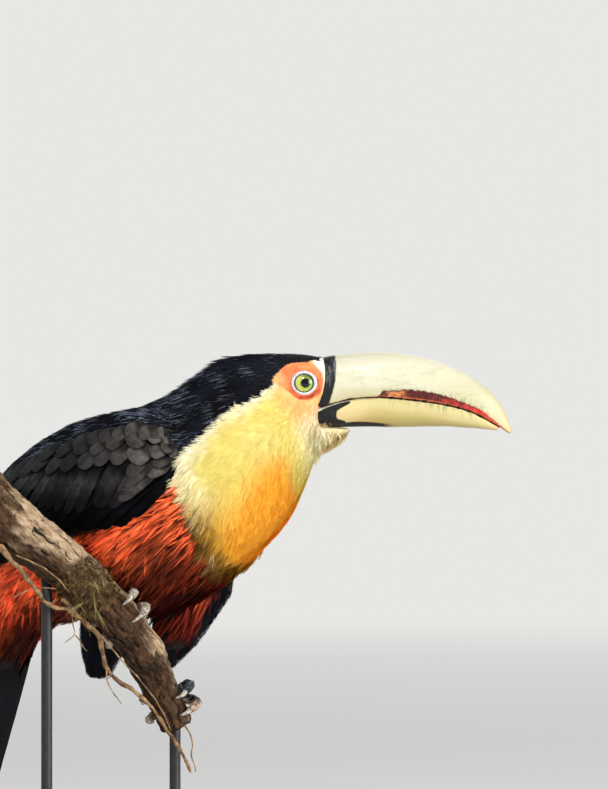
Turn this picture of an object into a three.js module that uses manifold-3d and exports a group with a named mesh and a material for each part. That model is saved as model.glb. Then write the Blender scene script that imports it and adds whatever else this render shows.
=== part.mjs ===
// A red-breasted toucan (Ramphastos dicolorus), life size, on a cut length of branch held by a display stand.
// Millimetres, +Z up. The bill points along +X and the bird's right side faces -Y.
// The origin is the centre of the underside of the stand's base.
import * as THREE from "three";
import { mergeVertices } from "three/addons/utils/BufferGeometryUtils.js";
import Module from "manifold-3d";

const wasm = await Module();
wasm.setup();

// ---------------------------------------------------------------- driving dimensions
const GAP = 0.3; // clearance between neighbouring solids
const BILL_BASE_X = 101.4;
const UPPER_BILL_END_X = 204.3;
const LOWER_BILL_END_X = 197.2; // the lower half closes behind the hooked tip
const BILL_HALF_WIDTH = 14.2; // at the base
const HEAD_Y = -30; // the head's plane of symmetry
const EYE = { x: 93.1, z: 271.2, out: 11.2, radius: 7.6 }; // out: from the plane of symmetry to the centre
const TOE_RADIUS = 2.7;
const SOLE_RADIUS = 3.4;
const TARSUS_RADIUS = 2.7;
const BASE = { radius: 82, height: 14, edge: 1.6 }; // edge: rounding of the rims
const ROD_RADIUS = 3;
const ROD_SOCKET = 6; // how deep a rod sits in the base and in the branch

// Sections of the feathered body from the face to the tail's tip: the centre, the way the section faces in
// degrees (yaw towards -Y, pitch up, roll left side down), then half its width and its reach up and down.
const BODY = [
  { at: [100.6, -30.0, 264.8], turn: [0, 2, 0], size: [13.8, 20.4, 19.4] },
  { at: [95.6, -30.0, 262.4], turn: [0, 11, 0], size: [18.2, 25.0, 26.4] },
  { at: [85.6, -29.6, 254.2], turn: [0, 17, 2], size: [21.8, 34.8, 36.0] },
  { at: [74.0, -28.0, 246.4], turn: [5, 22, 6], size: [27.0, 43.0, 43.8] },
  { at: [60.0, -24.0, 236.0], turn: [14, 27, 14], size: [33.5, 47.0, 50.0] },
  { at: [43.5, -17.0, 223.0], turn: [22, 31, 20], size: [40.0, 50.5, 54.0] },
  { at: [22.5, -6.0, 209.5], turn: [28, 33, 24], size: [45.5, 56.5, 60.0] },
  { at: [-4.0, 9.5, 197.0], turn: [28, 34, 24], size: [46.5, 61.0, 61.0] },
  { at: [-32.0, 26.0, 182.0], turn: [28, 37, 20], size: [41.0, 58.5, 50.0] },
  { at: [-53.0, 38.0, 166.0], turn: [30, 45, 14], size: [31.0, 41.0, 35.0] },
  { at: [-66.0, 46.5, 148.0], turn: [34, 57, 8], size: [22.5, 20.0, 20.0] },
  { at: [-74.5, 53.5, 125.0], turn: [36, 63, 4], size: [22.5, 7.0, 8.4] },
  { at: [-83.0, 61.0, 98.0], turn: [36, 65, 4], size: [25.0, 2.8, 3.6] },
  { at: [-92.0, 68.5, 66.0], turn: [36, 67, 4], size: [27.0, 2.2, 2.6] },
  { at: [-101.0, 76.0, 32.0], turn: [36, 68, 4], size: [24.0, 1.6, 1.8] },
];
const BODY_RING = 22; // points round one section
const BODY_STEPS = 34; // lengths between sections
// Where one part of the body passes into the next, counted in BODY sections.
const NECK_START = 3.1;
const TRUNK_START = 5.05;
const TAIL_START = 9.75;

// Sections that the folded wings are bent round: the shoulders and the back, then the air over the rump.
const WING_GUIDE = [
  ...BODY.slice(4, 9),
  { at: [-56.0, 39.0, 165.5], turn: [28, 38, 16], size: [34.0, 45.0, 38.0] },
  { at: [-78.0, 52.0, 145.0], turn: [30, 43, 12], size: [27.0, 31.0, 29.0] },
  { at: [-96.0, 63.0, 123.0], turn: [32, 48, 8], size: [22.0, 21.0, 21.0] },
];
const WING_DEPTH = 3.2; // how far a wing lies inside the guide
// Rows of a wing from the wrist to the tip: the place in WING_GUIDE, the upper and the lower edge in degrees
// from the middle of the back, and the height of the wing over the guide.
const WING = [
  [0.92, 74, 84, 0.8],
  [1.0, 62, 92, 3.0],
  [1.2, 50, 98, 4.4],
  [1.55, 41, 107, 4.8],
  [2.0, 32, 114, 4.6],
  [2.6, 24, 117, 4.4],
  [3.3, 17, 112, 4.0],
  [4.1, 13, 102, 3.8],
  [5.0, 11, 92, 3.6],
  [5.8, 11, 82, 3.2],
  [6.5, 15, 70, 2.4],
  [7.0, 26, 52, 1.6],
];
const WING_STEPS = 14;
const WING_ACROSS = 6;

// The bill in side view, X then Z: the ridge of the upper half, the cutting edge, and the keel of the lower.
const CULMEN = [
  [101.4, 284.6], [117.7, 287.3], [139.1, 287.8], [155.2, 285.4], [171.2, 280.2], [187.3, 271.4],
  [197.6, 261.2], [202.8, 250.4], [204.4, 245.0],
];
const TOMIUM = [
  [101.4, 258.2], [115, 262.2], [128.4, 263.8], [144.5, 262.9], [165.9, 260.1], [181.9, 256.0],
  [195.3, 248.9], [202.0, 244.4], [204.4, 243.8],
];
const KEEL = [
  [101.4, 247.2], [123.1, 247.9], [144.5, 247.6], [165.9, 248.0], [181.9, 247.2], [192.6, 246.2],
  [197.5, 246.0],
];
// The chin's feathers run forward under the lower half: X, the lowest Z and half the width.
const CHIN = [
  [97, 234, 12], [103, 236, 11], [107, 238.4, 9], [111.5, 241.6, 6.5], [116, 244.8, 3.4], [118.5, 246.2, 1],
];
const CHIN_TOP_Z = 246.3;

// The branch from its upper cut end to its lower one: centre and radius.
const BRANCH = [
  [-96, -34, 231, 16.5],
  [-70, -37, 203, 15.5],
  [-44, -40, 182, 14.2],
  [-24, -41, 165, 12.8],
  [-7, -40, 148, 12.0],
  [5, -37, 131, 11.4],
  [13, -33, 115, 10.6],
  [20, -29, 100, 9.6],
  [25, -26, 87, 8.8],
];
const BRANCH_SIDES = 12;
const BRANCH_STEPS = 18;

// The legs. A thigh is a feathered cone, as X, Y, Z and radius from the belly to the heel. The foot stands
// at a place along the branch, counted in its rows. toeArch lifts the toes' middle joints off the bark.
const LEGS = {
  right: {
    thigh: [
      [0, 8, 170, 18], [-8, 6, 155, 18.5], [-14, 8, 138, 15], [-17.5, 12, 122, 10.5], [-18.5, 13, 111, 6],
    ],
    heel: [-17.5, 13, 120],
    footPlace: 4.1,
    toeSpread: 1,
    toeArch: 0.6,
  },
  left: {
    thigh: [
      [33, 22, 182, 21], [36, 19, 168, 21], [29, 17, 153, 19], [22.5, 15, 138, 16], [17, 13, 125, 11],
      [15, 12, 117, 7],
    ],
    heel: [12, 15, 127],
    footPlace: 7.1,
    toeSpread: 1.5,
    toeArch: 3.2,
  },
};
// Toes, two in front and two behind: the distance along the branch from the foot's middle, the stops round
// it in degrees from the front over the top, and where the claw's tip meets the bark.
const TOES = [
  { name: "inner_front", spread: -0.2, stops: [168, 128, 96, 66], tip: 30 },
  { name: "outer_front", spread: 0.22, stops: [168, 124, 90, 58], tip: 22 },
  { name: "inner_back", spread: -0.24, stops: [176, 206, 232], tip: 262 },
  { name: "outer_back", spread: 0.26, stops: [176, 210, 244], tip: 276 },
];
// Along a claw: the share of its turn round the branch, its height over the bark and its radius.
const CLAW = [[0, 3.0, 1.5], [0.35, 3.7, 1.25], [0.72, 2.9, 0.85], [1, 0.95, 0.3]];
const CLAW_CLEARANCE = 4.2; // degrees round the branch between a toe's end and its claw

// ---------------------------------------------------------------- helpers
const V = (x, y, z) => new THREE.Vector3(x, y, z);
const rad = THREE.MathUtils.degToRad;

/** A closed geometry from rings of equally many points, with a fan over each end. */
function loft(rings) {
  const count = rings[0].length;
  const middle = (ring) => ring.reduce((sum, p) => sum.add(p), V(0, 0, 0)).divideScalar(count);
  const points = [...rings.flat(), middle(rings[0]), middle(rings.at(-1))];
  const index = [];
  for (let i = 0; i < rings.length - 1; i++) {
    for (let j = 0; j < count; j++) {
      const a = i * count + j;
      const b = i * count + ((j + 1) % count);
      index.push(a, b, a + count, b, b + count, a + count);
    }
  }
  const last = (rings.length - 1) * count;
  for (let j = 0; j < count; j++) {
    const next = (j + 1) % count;
    index.push(points.length - 2, next, j);
    index.push(points.length - 1, last + j, last + next);
  }
  const geometry = new THREE.BufferGeometry().setFromPoints(points);
  geometry.setIndex(index);
  return geometry;
}

/** A manifold solid of a closed geometry, turned inside out first when its faces point inwards. */
function solid(geometry) {
  const plain = geometry.clone();
  plain.deleteAttribute("normal");
  plain.deleteAttribute("uv");
  const merged = mergeVertices(plain, 1e-4);
  const { position } = merged.attributes;
  const index = Array.from(merged.index.array);
  let volume = 0;
  for (let i = 0; i < index.length; i += 3) {
    const [a, b, c] = [0, 1, 2].map((k) => V().fromBufferAttribute(position, index[i + k]));
    volume += a.dot(b.cross(c));
  }
  if (volume < 0) {
    index.reverse();
  }
  const vertProperties = new Float32Array(position.array);
  return new wasm.Manifold(new wasm.Mesh({ numProp: 3, vertProperties, triVerts: new Uint32Array(index) }));
}

/** The drawable geometry of a manifold solid. */
function geometryOf(manifold) {
  const mesh = manifold.getMesh();
  const geometry = new THREE.BufferGeometry();
  geometry.setAttribute("position", new THREE.BufferAttribute(mesh.vertProperties, 3));
  geometry.setIndex(new THREE.BufferAttribute(mesh.triVerts, 1));
  geometry.computeVertexNormals();
  return geometry;
}

/** Smooth values through rows of numbers; place counts the rows, so 1.5 is midway between rows 1 and 2. */
function smoothRows(rows) {
  const groups = [];
  for (let k = 0; k < rows[0].length; k += 3) {
    const points = rows.map((row) => V(row[k], row[k + 1] ?? 0, row[k + 2] ?? 0));
    groups.push(new THREE.CatmullRomCurve3(points, false, "catmullrom", 0.5));
  }
  return (place) => groups.flatMap((curve) => curve.getPoint(place / (rows.length - 1)).toArray());
}

/** A function that gives the section at a place in a list like BODY, with its directions. */
function sectionsOf(stations) {
  const values = smoothRows(stations.map(({ at, turn, size }) => [...at, ...turn, ...size]));
  return (place) => {
    const [x, y, z, yaw, pitch, roll, halfWidth, above, below] = values(place);
    const turned = new THREE.Matrix4()
      .makeRotationZ(-rad(yaw))
      .multiply(new THREE.Matrix4().makeRotationY(-rad(pitch)))
      .multiply(new THREE.Matrix4().makeRotationX(-rad(roll)));
    const [forward, left, up] = [V(), V(), V()];
    turned.extractBasis(forward, left, up);
    return { centre: V(x, y, z), forward, left, up, halfWidth, above, below };
  };
}

/** A point of a section, at an angle in degrees from its top towards the bird's right, lifted off it. */
function pointOn(section, angle, lift = 0) {
  const side = Math.sin(rad(angle));
  const rise = Math.cos(rad(angle));
  const reach = rise > 0 ? section.above : section.below;
  return section.centre
    .clone()
    .addScaledVector(section.left, -side * (section.halfWidth + lift))
    .addScaledVector(section.up, rise * (reach + lift));
}

/** A round tube through rows of X, Y, Z and radius; grow widens it and lengthens its ends. */
function tube(rows, sides, steps, grow = 0) {
  const curve = new THREE.CatmullRomCurve3(rows.map(([x, y, z]) => V(x, y, z)), false, "centripetal");
  const radius = smoothRows(rows.map((row) => [row[3]]));
  const rings = [];
  let side = V(0.13, 0.97, 0.21); // any direction that no tube runs along
  for (let i = 0; i <= steps; i++) {
    const t = i / steps;
    const along = curve.getTangent(t);
    side = side.clone().addScaledVector(along, -side.dot(along)).normalize();
    const up = along.clone().cross(side);
    const r = radius(t * (rows.length - 1))[0] + grow;
    const end = i === 0 ? -grow : i === steps ? grow : 0;
    const middle = curve.getPoint(t).addScaledVector(along, end);
    const ring = [];
    for (let j = 0; j < sides; j++) {
      const angle = (2 * Math.PI * j) / sides;
      const spoke = side.clone().multiplyScalar(r * Math.cos(angle));
      ring.push(spoke.addScaledVector(up, r * Math.sin(angle)).add(middle));
    }
    rings.push(ring);
  }
  return solid(loft(rings));
}

function ball(centre, radius, across, down) {
  return solid(new THREE.SphereGeometry(radius, across, down).translate(...centre));
}

// ---------------------------------------------------------------- body
const bodySection = sectionsOf(BODY);
const guideSection = sectionsOf(WING_GUIDE);

/** The feathered body from the face to the tail's tip, before it is parted. */
function bodyWhole() {
  const rings = [];
  for (let i = 0; i <= BODY_STEPS; i++) {
    const section = bodySection(((BODY.length - 1) * i) / BODY_STEPS);
    const ring = [];
    for (let j = 0; j < BODY_RING; j++) {
      ring.push(pointOn(section, (360 * j) / BODY_RING));
    }
    rings.push(ring);
  }
  return solid(loft(rings));
}

/** Everything in front of a body section, as a large block; a set-back moves its face backwards. */
function frontOf(place, setBack = 0) {
  const { centre, forward, left, up } = bodySection(place);
  const size = 600;
  const block = new THREE.BoxGeometry(size, size, size);
  const middle = centre.clone().addScaledVector(forward, size / 2 - setBack);
  block.applyMatrix4(new THREE.Matrix4().makeBasis(forward, left, up).setPosition(middle));
  return solid(block);
}

/** A folded wing: a plate bent round the guide sections, side +1 for the right wing and -1 for the left. */
function wing(side, grow = 0) {
  const values = smoothRows(WING);
  const rings = [];
  for (let i = 0; i <= WING_STEPS; i++) {
    const [place, upper, lower, lift] = values(((WING.length - 1) * i) / WING_STEPS);
    const section = guideSection(place);
    const edge = (grow * 180) / (Math.PI * section.halfWidth);
    const end = i === 0 ? grow : i === WING_STEPS ? -grow : 0;
    section.centre.addScaledVector(section.forward, end);
    const outer = [];
    const inner = [];
    for (let j = 0; j <= WING_ACROSS; j++) {
      const across = j / WING_ACROSS;
      const angle = side * (upper - edge + (lower - upper + 2 * edge) * across);
      const swell = Math.sqrt(1 - Math.abs(2 * across - 1) ** 3) + 0.16; // the rest is the edges' thickness
      outer.push(pointOn(section, angle, lift * swell + grow));
      inner.push(pointOn(section, angle, -WING_DEPTH * swell - grow));
    }
    rings.push([...outer, ...inner.reverse()]);
  }
  return solid(loft(rings));
}

/** The chin's wedge of feathers under the lower half of the bill. */
function chin() {
  const sides = 12;
  const rings = CHIN.map(([x, low, halfWidth]) => {
    const ring = [];
    for (let j = 0; j <= sides; j++) {
      const angle = Math.PI * (j / sides);
      const drop = Math.max(CHIN_TOP_Z - low, 0.6) * Math.sin(angle);
      ring.push(V(x, HEAD_Y + halfWidth * Math.cos(angle), CHIN_TOP_Z - drop));
    }
    return ring;
  });
  return solid(loft(rings));
}

/** An eyeball, side +1 for the left one. */
const eyeball = (side, grow = 0) => ball([EYE.x, HEAD_Y + side * EYE.out, EYE.z], EYE.radius + grow, 16, 10);

// ---------------------------------------------------------------- bill
/** Half of the bill: upright sections between two outlines, closer together towards the tip. */
function billHalf(top, bottom, end, steps, ringAt) {
  const outline = (points) => new THREE.SplineCurve(points.map(([x, z]) => new THREE.Vector2(x, z)));
  const heightAt = (curve, x) => {
    let [low, high] = [0, 1];
    for (let i = 0; i < 30; i++) {
      const middle = (low + high) / 2;
      if (curve.getPoint(middle).x < x) {
        low = middle;
      } else {
        high = middle;
      }
    }
    return curve.getPoint(low).y;
  };
  const [upper, lower] = [outline(top), outline(bottom)];
  const rings = [];
  for (let i = 0; i <= steps; i++) {
    const x = BILL_BASE_X + (end - BILL_BASE_X) * Math.sin((Math.PI / 2) * (i / steps));
    rings.push(ringAt(x, heightAt(upper, x), heightAt(lower, x)));
  }
  return solid(loft(rings));
}

function billHalfWidth(x) {
  const t = (x - BILL_BASE_X) / (UPPER_BILL_END_X - BILL_BASE_X);
  return BILL_HALF_WIDTH * (1 - 0.34 * t - 0.6 * t ** 5);
}

/** An arch from one side of the bill to the other; rise is negative for one that hangs. */
function arch(x, halfWidth, foot, rise, sides, fullness) {
  const ring = [];
  for (let j = 0; j <= sides; j++) {
    const angle = Math.PI * (j / sides);
    const across = Math.sign(Math.cos(angle)) * Math.abs(Math.cos(angle)) ** fullness;
    ring.push(V(x, HEAD_Y + halfWidth * across, foot + rise * Math.sin(angle) ** fullness));
  }
  return ring;
}

const upperRing = (x, top, bottom) => arch(x, billHalfWidth(x), bottom, top - bottom, 14, 0.82);
const lowerRing = (x, top, bottom) =>
  arch(x, 0.86 * billHalfWidth(x), top - GAP, bottom - top + GAP, 10, 0.78);

// ---------------------------------------------------------------- perch, legs and feet
const branchCurve = new THREE.CatmullRomCurve3(BRANCH.map(([x, y, z]) => V(x, y, z)), false, "centripetal");
const branchRadius = smoothRows(BRANCH.map((row) => [row[3]]));
const branch = (grow = 0) => tube(BRANCH, BRANCH_SIDES, BRANCH_STEPS, grow);

/** A point over the bark: the place along the branch, degrees round it from its front over its top. */
function onBranch(place, angle, lift) {
  const t = place / (BRANCH.length - 1);
  const along = branchCurve.getTangent(t);
  const front = V(0, -1, 0).addScaledVector(along, along.y).normalize();
  const top = front.clone().cross(along).normalize();
  const reach = branchRadius(place)[0] + lift;
  return branchCurve
    .getPoint(t)
    .addScaledVector(front, reach * Math.cos(rad(angle)))
    .addScaledVector(top, reach * Math.sin(rad(angle)));
}

/** The sole's middle, on the far side of the branch. */
const soleOf = (leg) => onBranch(leg.footPlace, 165, SOLE_RADIUS + 0.5);

/** The sole and its four toes in one piece. */
function foot(leg, grow = 0) {
  let joined = ball(soleOf(leg).toArray(), SOLE_RADIUS + grow, 8, 6);
  for (const { spread, stops } of TOES) {
    const rows = stops.map((angle, k) => {
      const place = leg.footPlace + leg.toeSpread * spread * Math.min(1, (k + 0.15) / 1.4);
      const radius = TOE_RADIUS * (1 - 0.12 * k);
      const lift = k === 1 || k === 2 ? leg.toeArch : 0.8;
      return [...onBranch(place, angle, radius + GAP + lift).toArray(), radius];
    });
    joined = joined.add(tube(rows, 6, 5, grow));
  }
  return joined;
}

/** A claw: a curved cone that leaves its toe's end and bends down to the bark. */
function claw(leg, { spread, stops, tip }) {
  const place = leg.footPlace + leg.toeSpread * spread;
  const end = stops.at(-1);
  const start = end + CLAW_CLEARANCE * Math.sign(tip - end);
  const rows = CLAW.map(([share, height, radius]) => [
    ...onBranch(place, start + (tip - start) * share, height).toArray(),
    radius,
  ]);
  return tube(rows, 6, 4);
}

/** The bare shin, from the heel to just above the sole. */
function tarsus(leg, grow = 0) {
  const heel = V(...leg.heel);
  const ankle = soleOf(leg);
  ankle.addScaledVector(heel.clone().sub(ankle).normalize(), TOE_RADIUS + SOLE_RADIUS);
  const rows = [
    [...heel.toArray(), TARSUS_RADIUS * 1.25],
    [...heel.clone().lerp(ankle, 0.5).toArray(), TARSUS_RADIUS * 0.9],
    [...ankle.toArray(), TARSUS_RADIUS],
  ];
  return tube(rows, 8, 3, grow);
}

const thigh = (leg, grow = 0) => tube(leg.thigh, 12, 8, grow);

// ---------------------------------------------------------------- stand
function rod(x, y, top, grow = 0) {
  const bottom = BASE.height - ROD_SOCKET;
  const length = top - bottom + 2 * grow;
  const cylinder = new THREE.CylinderGeometry(ROD_RADIUS + grow, ROD_RADIUS + grow, length, 12);
  return solid(cylinder.rotateX(Math.PI / 2).translate(x, y, (top + bottom) / 2));
}

const [lowEnd, highEnd] = [BRANCH.at(-1), BRANCH[2]];
const RODS = {
  stand_rod_low: (grow) => rod(lowEnd[0] - 1, lowEnd[1], lowEnd[2] + ROD_SOCKET, grow),
  stand_rod_high: (grow) => rod(highEnd[0], highEnd[1], highEnd[2] - highEnd[3] + ROD_SOCKET, grow),
};
const withSockets = (shape) => Object.values(RODS).reduce((cut, make) => cut.subtract(make(GAP)), shape);

function base() {
  const { radius, height, edge } = BASE;
  const profile = [
    [0, 0], [radius - edge, 0], [radius, edge], [radius, height - edge], [radius - edge, height], [0, height],
  ];
  const lathe = new THREE.LatheGeometry(profile.map(([r, h]) => new THREE.Vector2(r, h)), 32);
  return solid(lathe.rotateX(Math.PI / 2));
}

// ---------------------------------------------------------------- assembly
const finish = (color, roughness, metalness = 0) =>
  new THREE.MeshStandardMaterial({ color, roughness, metalness });
const MATERIALS = {
  blackFeathers: finish(0x1b1c20, 0.7),
  yellowFeathers: finish(0xf6d978, 0.8),
  redFeathers: finish(0xb8402a, 0.8),
  bill: finish(0xeee7c4, 0.35),
  eye: finish(0x9fae3c, 0.1),
  scales: finish(0x7d8890, 0.55),
  claws: finish(0x4b463f, 0.4),
  bark: finish(0x8a7661, 0.9),
  steel: finish(0x1c1c1e, 0.4, 0.6),
  base: finish(0x2b2522, 0.5),
};
const group = new THREE.Group();

function add(name, shape, material) {
  const mesh = new THREE.Mesh(geometryOf(shape), material);
  mesh.name = name;
  group.add(mesh);
}

let body = bodyWhole().add(chin()).subtract(branch(2 * GAP));
for (const [side, leg] of Object.entries(LEGS)) {
  const turn = side === "left" ? 1 : -1;
  const cuts = [wing(-turn, GAP), eyeball(turn, GAP), thigh(leg, GAP), tarsus(leg, GAP), foot(leg, GAP)];
  body = cuts.reduce((shape, cut) => shape.subtract(cut), body);
}
const between = (front, back) => body.subtract(frontOf(front, GAP)).intersect(frontOf(back));
add("head", body.intersect(frontOf(NECK_START)), MATERIALS.blackFeathers);
add("neck", between(NECK_START, TRUNK_START), MATERIALS.yellowFeathers);
add("trunk", between(TRUNK_START, TAIL_START), MATERIALS.redFeathers);
add("tail", body.subtract(frontOf(TAIL_START, GAP)), MATERIALS.blackFeathers);

const beforeFace = frontOf(0, -GAP);
const upperHalf = billHalf(CULMEN, TOMIUM, UPPER_BILL_END_X, 19, upperRing);
const lowerHalf = billHalf(TOMIUM, KEEL, LOWER_BILL_END_X, 14, lowerRing);
add("bill_upper", upperHalf.intersect(beforeFace), MATERIALS.bill);
add("bill_lower", lowerHalf.intersect(beforeFace), MATERIALS.bill);

for (const [side, leg] of Object.entries(LEGS)) {
  const turn = side === "left" ? 1 : -1;
  add("eye_" + side, eyeball(turn), MATERIALS.eye);
  add("wing_" + side, wing(-turn), MATERIALS.blackFeathers);
  const leftCut = side === "left" ? [thigh(LEGS.right, GAP)] : [];
  const cuts = [tarsus(leg, GAP), wing(-turn, GAP), ...leftCut];
  const upperLeg = cuts.reduce((shape, cut) => shape.subtract(cut), thigh(leg));
  add("thigh_" + side, upperLeg, MATERIALS.blackFeathers);
  add("tarsus_" + side, tarsus(leg), MATERIALS.scales);
  add("foot_" + side, foot(leg), MATERIALS.scales);
  for (const toe of TOES) {
    add("claw_" + side + "_" + toe.name, claw(leg, toe), MATERIALS.claws);
  }
}

add("perch_branch", withSockets(branch()), MATERIALS.bark);
add("stand_base", withSockets(base()), MATERIALS.base);
for (const [name, make] of Object.entries(RODS)) {
  add(name, make(0), MATERIALS.steel);
}

export default group;
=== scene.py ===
"""The looks of a life-size model of a red-breasted toucan on a cut branch and a display stand.

Metres, +Z up. The bill points along +X and the bird's right side faces -Y, where the camera stands.
"""

import math
from types import SimpleNamespace

import bmesh
import bpy
import numpy as np
from mathutils import Matrix, Vector
from mathutils.bvhtree import BVHTree
from mathutils.kdtree import KDTree

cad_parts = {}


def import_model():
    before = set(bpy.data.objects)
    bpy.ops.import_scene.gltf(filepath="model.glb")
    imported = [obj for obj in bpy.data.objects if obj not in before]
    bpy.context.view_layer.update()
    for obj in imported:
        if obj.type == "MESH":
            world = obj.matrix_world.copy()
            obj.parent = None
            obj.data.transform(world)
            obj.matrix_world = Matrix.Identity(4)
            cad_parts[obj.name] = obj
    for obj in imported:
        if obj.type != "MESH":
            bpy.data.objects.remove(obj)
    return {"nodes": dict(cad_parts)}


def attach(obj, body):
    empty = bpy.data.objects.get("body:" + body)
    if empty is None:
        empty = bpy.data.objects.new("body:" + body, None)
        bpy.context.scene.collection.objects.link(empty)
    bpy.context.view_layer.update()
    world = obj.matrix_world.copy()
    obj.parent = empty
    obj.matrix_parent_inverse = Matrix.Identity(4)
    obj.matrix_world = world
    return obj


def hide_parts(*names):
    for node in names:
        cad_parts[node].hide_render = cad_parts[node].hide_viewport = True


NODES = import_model()["nodes"]
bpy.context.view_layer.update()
MM = 0.001
IN_MM = (1000.0, 1000.0, 1000.0)  # the scale that turns a material's metres into millimetres

# ---------------------------------------------------------------- driving dimensions, millimetres
HEAD_Y = -30.0
EYE = {"x": 93.1, "z": 271.2, "out": 11.2, "radius": 7.6}
COAT_DEPTH = 2.6  # how far the skin lies inside the tips of the body's feathers
SKIN_VOXEL = 1.35  # the size of the cells that melt the flesh together

# Sections of the body from the face to the tail: centre, yaw, pitch and roll in degrees, half width, reach up
# and reach down.
BODY = [
    (100.6, -30.0, 264.8, 0, 2, 0, 13.8, 20.4, 19.4),
    (95.6, -30.0, 262.4, 0, 11, 0, 18.2, 25.0, 26.4),
    (85.6, -29.6, 254.2, 0, 17, 2, 21.8, 34.8, 36.0),
    (74.0, -28.0, 246.4, 5, 22, 6, 27.0, 43.0, 43.8),
    (60.0, -24.0, 236.0, 14, 27, 14, 33.5, 47.0, 50.0),
    (43.5, -17.0, 223.0, 22, 31, 20, 40.0, 50.5, 54.0),
    (22.5, -6.0, 209.5, 28, 33, 24, 45.5, 56.5, 60.0),
    (-4.0, 9.5, 197.0, 28, 34, 24, 46.5, 61.0, 61.0),
    (-32.0, 26.0, 182.0, 28, 37, 20, 41.0, 58.5, 50.0),
    (-53.0, 38.0, 166.0, 30, 45, 14, 31.0, 41.0, 35.0),
    (-66.0, 46.5, 148.0, 34, 57, 8, 22.5, 20.0, 20.0),
    (-74.5, 53.5, 125.0, 36, 63, 4, 22.5, 7.0, 8.4),
    (-83.0, 61.0, 98.0, 36, 65, 4, 25.0, 2.8, 3.6),
    (-92.0, 68.5, 66.0, 36, 67, 4, 27.0, 2.2, 2.6),
    (-101.0, 76.0, 32.0, 36, 68, 4, 24.0, 1.6, 1.8),
]
WING_GUIDE = BODY[4:9] + [
    (-56.0, 39.0, 165.5, 28, 38, 16, 34.0, 45.0, 38.0),
    (-78.0, 52.0, 145.0, 30, 43, 12, 27.0, 31.0, 29.0),
    (-96.0, 63.0, 123.0, 32, 48, 8, 22.0, 21.0, 21.0),
]
# Rows of a folded wing: place in WING_GUIDE, upper edge and lower edge in degrees, height over the guide.
WING = [
    (0.92, 74, 84, 0.8),
    (1.0, 62, 92, 3.0),
    (1.2, 50, 98, 4.4),
    (1.55, 41, 107, 4.8),
    (2.0, 32, 114, 4.6),
    (2.6, 24, 117, 4.4),
    (3.3, 17, 112, 4.0),
    (4.1, 13, 102, 3.8),
    (5.0, 11, 92, 3.6),
    (5.8, 11, 82, 3.2),
    (6.5, 15, 70, 2.4),
    (7.0, 26, 52, 1.6),
]
# Where the black cap and back end: body place, degrees from the back.
BLACK_EDGE = [
    (-0.5, 18), (0.32, 22), (1.0, 27), (1.6, 36), (2.1, 44.5), (2.3, 50), (2.5, 53.5), (2.7, 56.5), (2.9, 59),
    (3.09, 62), (3.39, 66), (3.6, 70.5), (3.79, 75), (4.11, 82.5), (4.49, 90), (4.81, 97), (5.13, 102), (7.6, 103),
    (8.3, 70), (8.7, 0),
]
# Where the yellow bib ends: degrees from the back, body place.
BIB_EDGE = [
    (95, 4.93), (104, 5.0), (118, 5.02), (129, 5.03), (138, 5.14), (148, 5.2), (157, 5.27), (166, 5.38), (180, 5.46),
]


def shade(red, green, blue):
    """A colour written as on a screen, 0 to 255, made linear."""
    values = np.array([red, green, blue]) / 255
    return tuple(np.where(values <= 0.04045, values / 12.92, ((values + 0.055) / 1.055) ** 2.4))


BLACK = shade(8, 9, 14)
BLACK_SHEEN = shade(28, 32, 46)
SHEEN_HIGHLIGHT = shade(120, 128, 148)
WING_GREY = shade(104, 100, 97)
BIB_PALE = shade(250, 244, 212)
BIB_YELLOW = shade(240, 223, 124)
BIB_GOLD = shade(252, 210, 98)
BIB_ORANGE = shade(255, 184, 52)
BIB_SHADE_OCHRE = shade(184, 143, 54)
BIB_SHADE_OLIVE = shade(92, 62, 30)
CHEEK = shade(244, 188, 122)
CHIN = shade(242, 224, 174)
ORBIT = shade(236, 132, 78)
ORBIT_DEEP_AND_SHADE = shade(190, 70, 38)
FLUSH = shade(226, 86, 48)
CREASE_SHADE = shade(104, 40, 26)
CREAM = shade(250, 243, 226)
RED = shade(255, 112, 62)
RED_DEEP = shade(204, 48, 34)
RED_IN_SHADE = shade(52, 11, 7)
MAROON_IN_SHADE = shade(92, 22, 13)


# ---------------------------------------------------------------- numbers
def unit(vectors):
    return vectors / np.maximum(np.linalg.norm(vectors, axis=-1, keepdims=True), 1e-12)


def dot(a, b):
    return (a * b).sum(-1)


def smoothstep(low, high, x):
    t = np.clip((x - low) / (high - low), 0, 1)
    return t * t * (3 - 2 * t)


def blend(a, b, t):
    t = np.asarray(t)[..., None]
    return np.asarray(a) * (1 - t) + np.asarray(b) * t


def layered(colour, count, *layers):
    """One colour for each of so many points, with others laid over it, each as far as its share says."""
    tint = np.array([colour] * count)
    for over, share in layers:
        tint = blend(tint, over, share)
    return tint


def smooth_rows(rows, places):
    """Smooth values between rows of numbers, at places that count the rows."""
    rows = np.asarray(rows, float)
    padded = np.vstack([2 * rows[0] - rows[1], rows, 2 * rows[-1] - rows[-2]])
    places = np.clip(places, 0, len(rows) - 1)
    k = np.minimum(places.astype(int), len(rows) - 2)
    t = (places - k)[:, None]
    p0, p1, p2, p3 = (padded[k + i] for i in range(4))
    return 0.5 * (2 * p1 + (p2 - p0) * t + (2 * p0 - 5 * p1 + 4 * p2 - p3) * t**2 + (3 * p1 - p0 - 3 * p2 + p3) * t**3)


def ripple(points, size, seed):
    """A smooth wander between about -1 and 1 with features of a given size in metres."""
    waves = np.random.default_rng(seed)
    total = np.zeros(len(points))
    for _ in range(6):
        direction = unit(waves.normal(size=3))
        rate = 2 * math.pi / size * waves.uniform(0.6, 1.6)
        total += np.sin(points @ direction * rate + waves.uniform(0, 7))
    return total / 3


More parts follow.
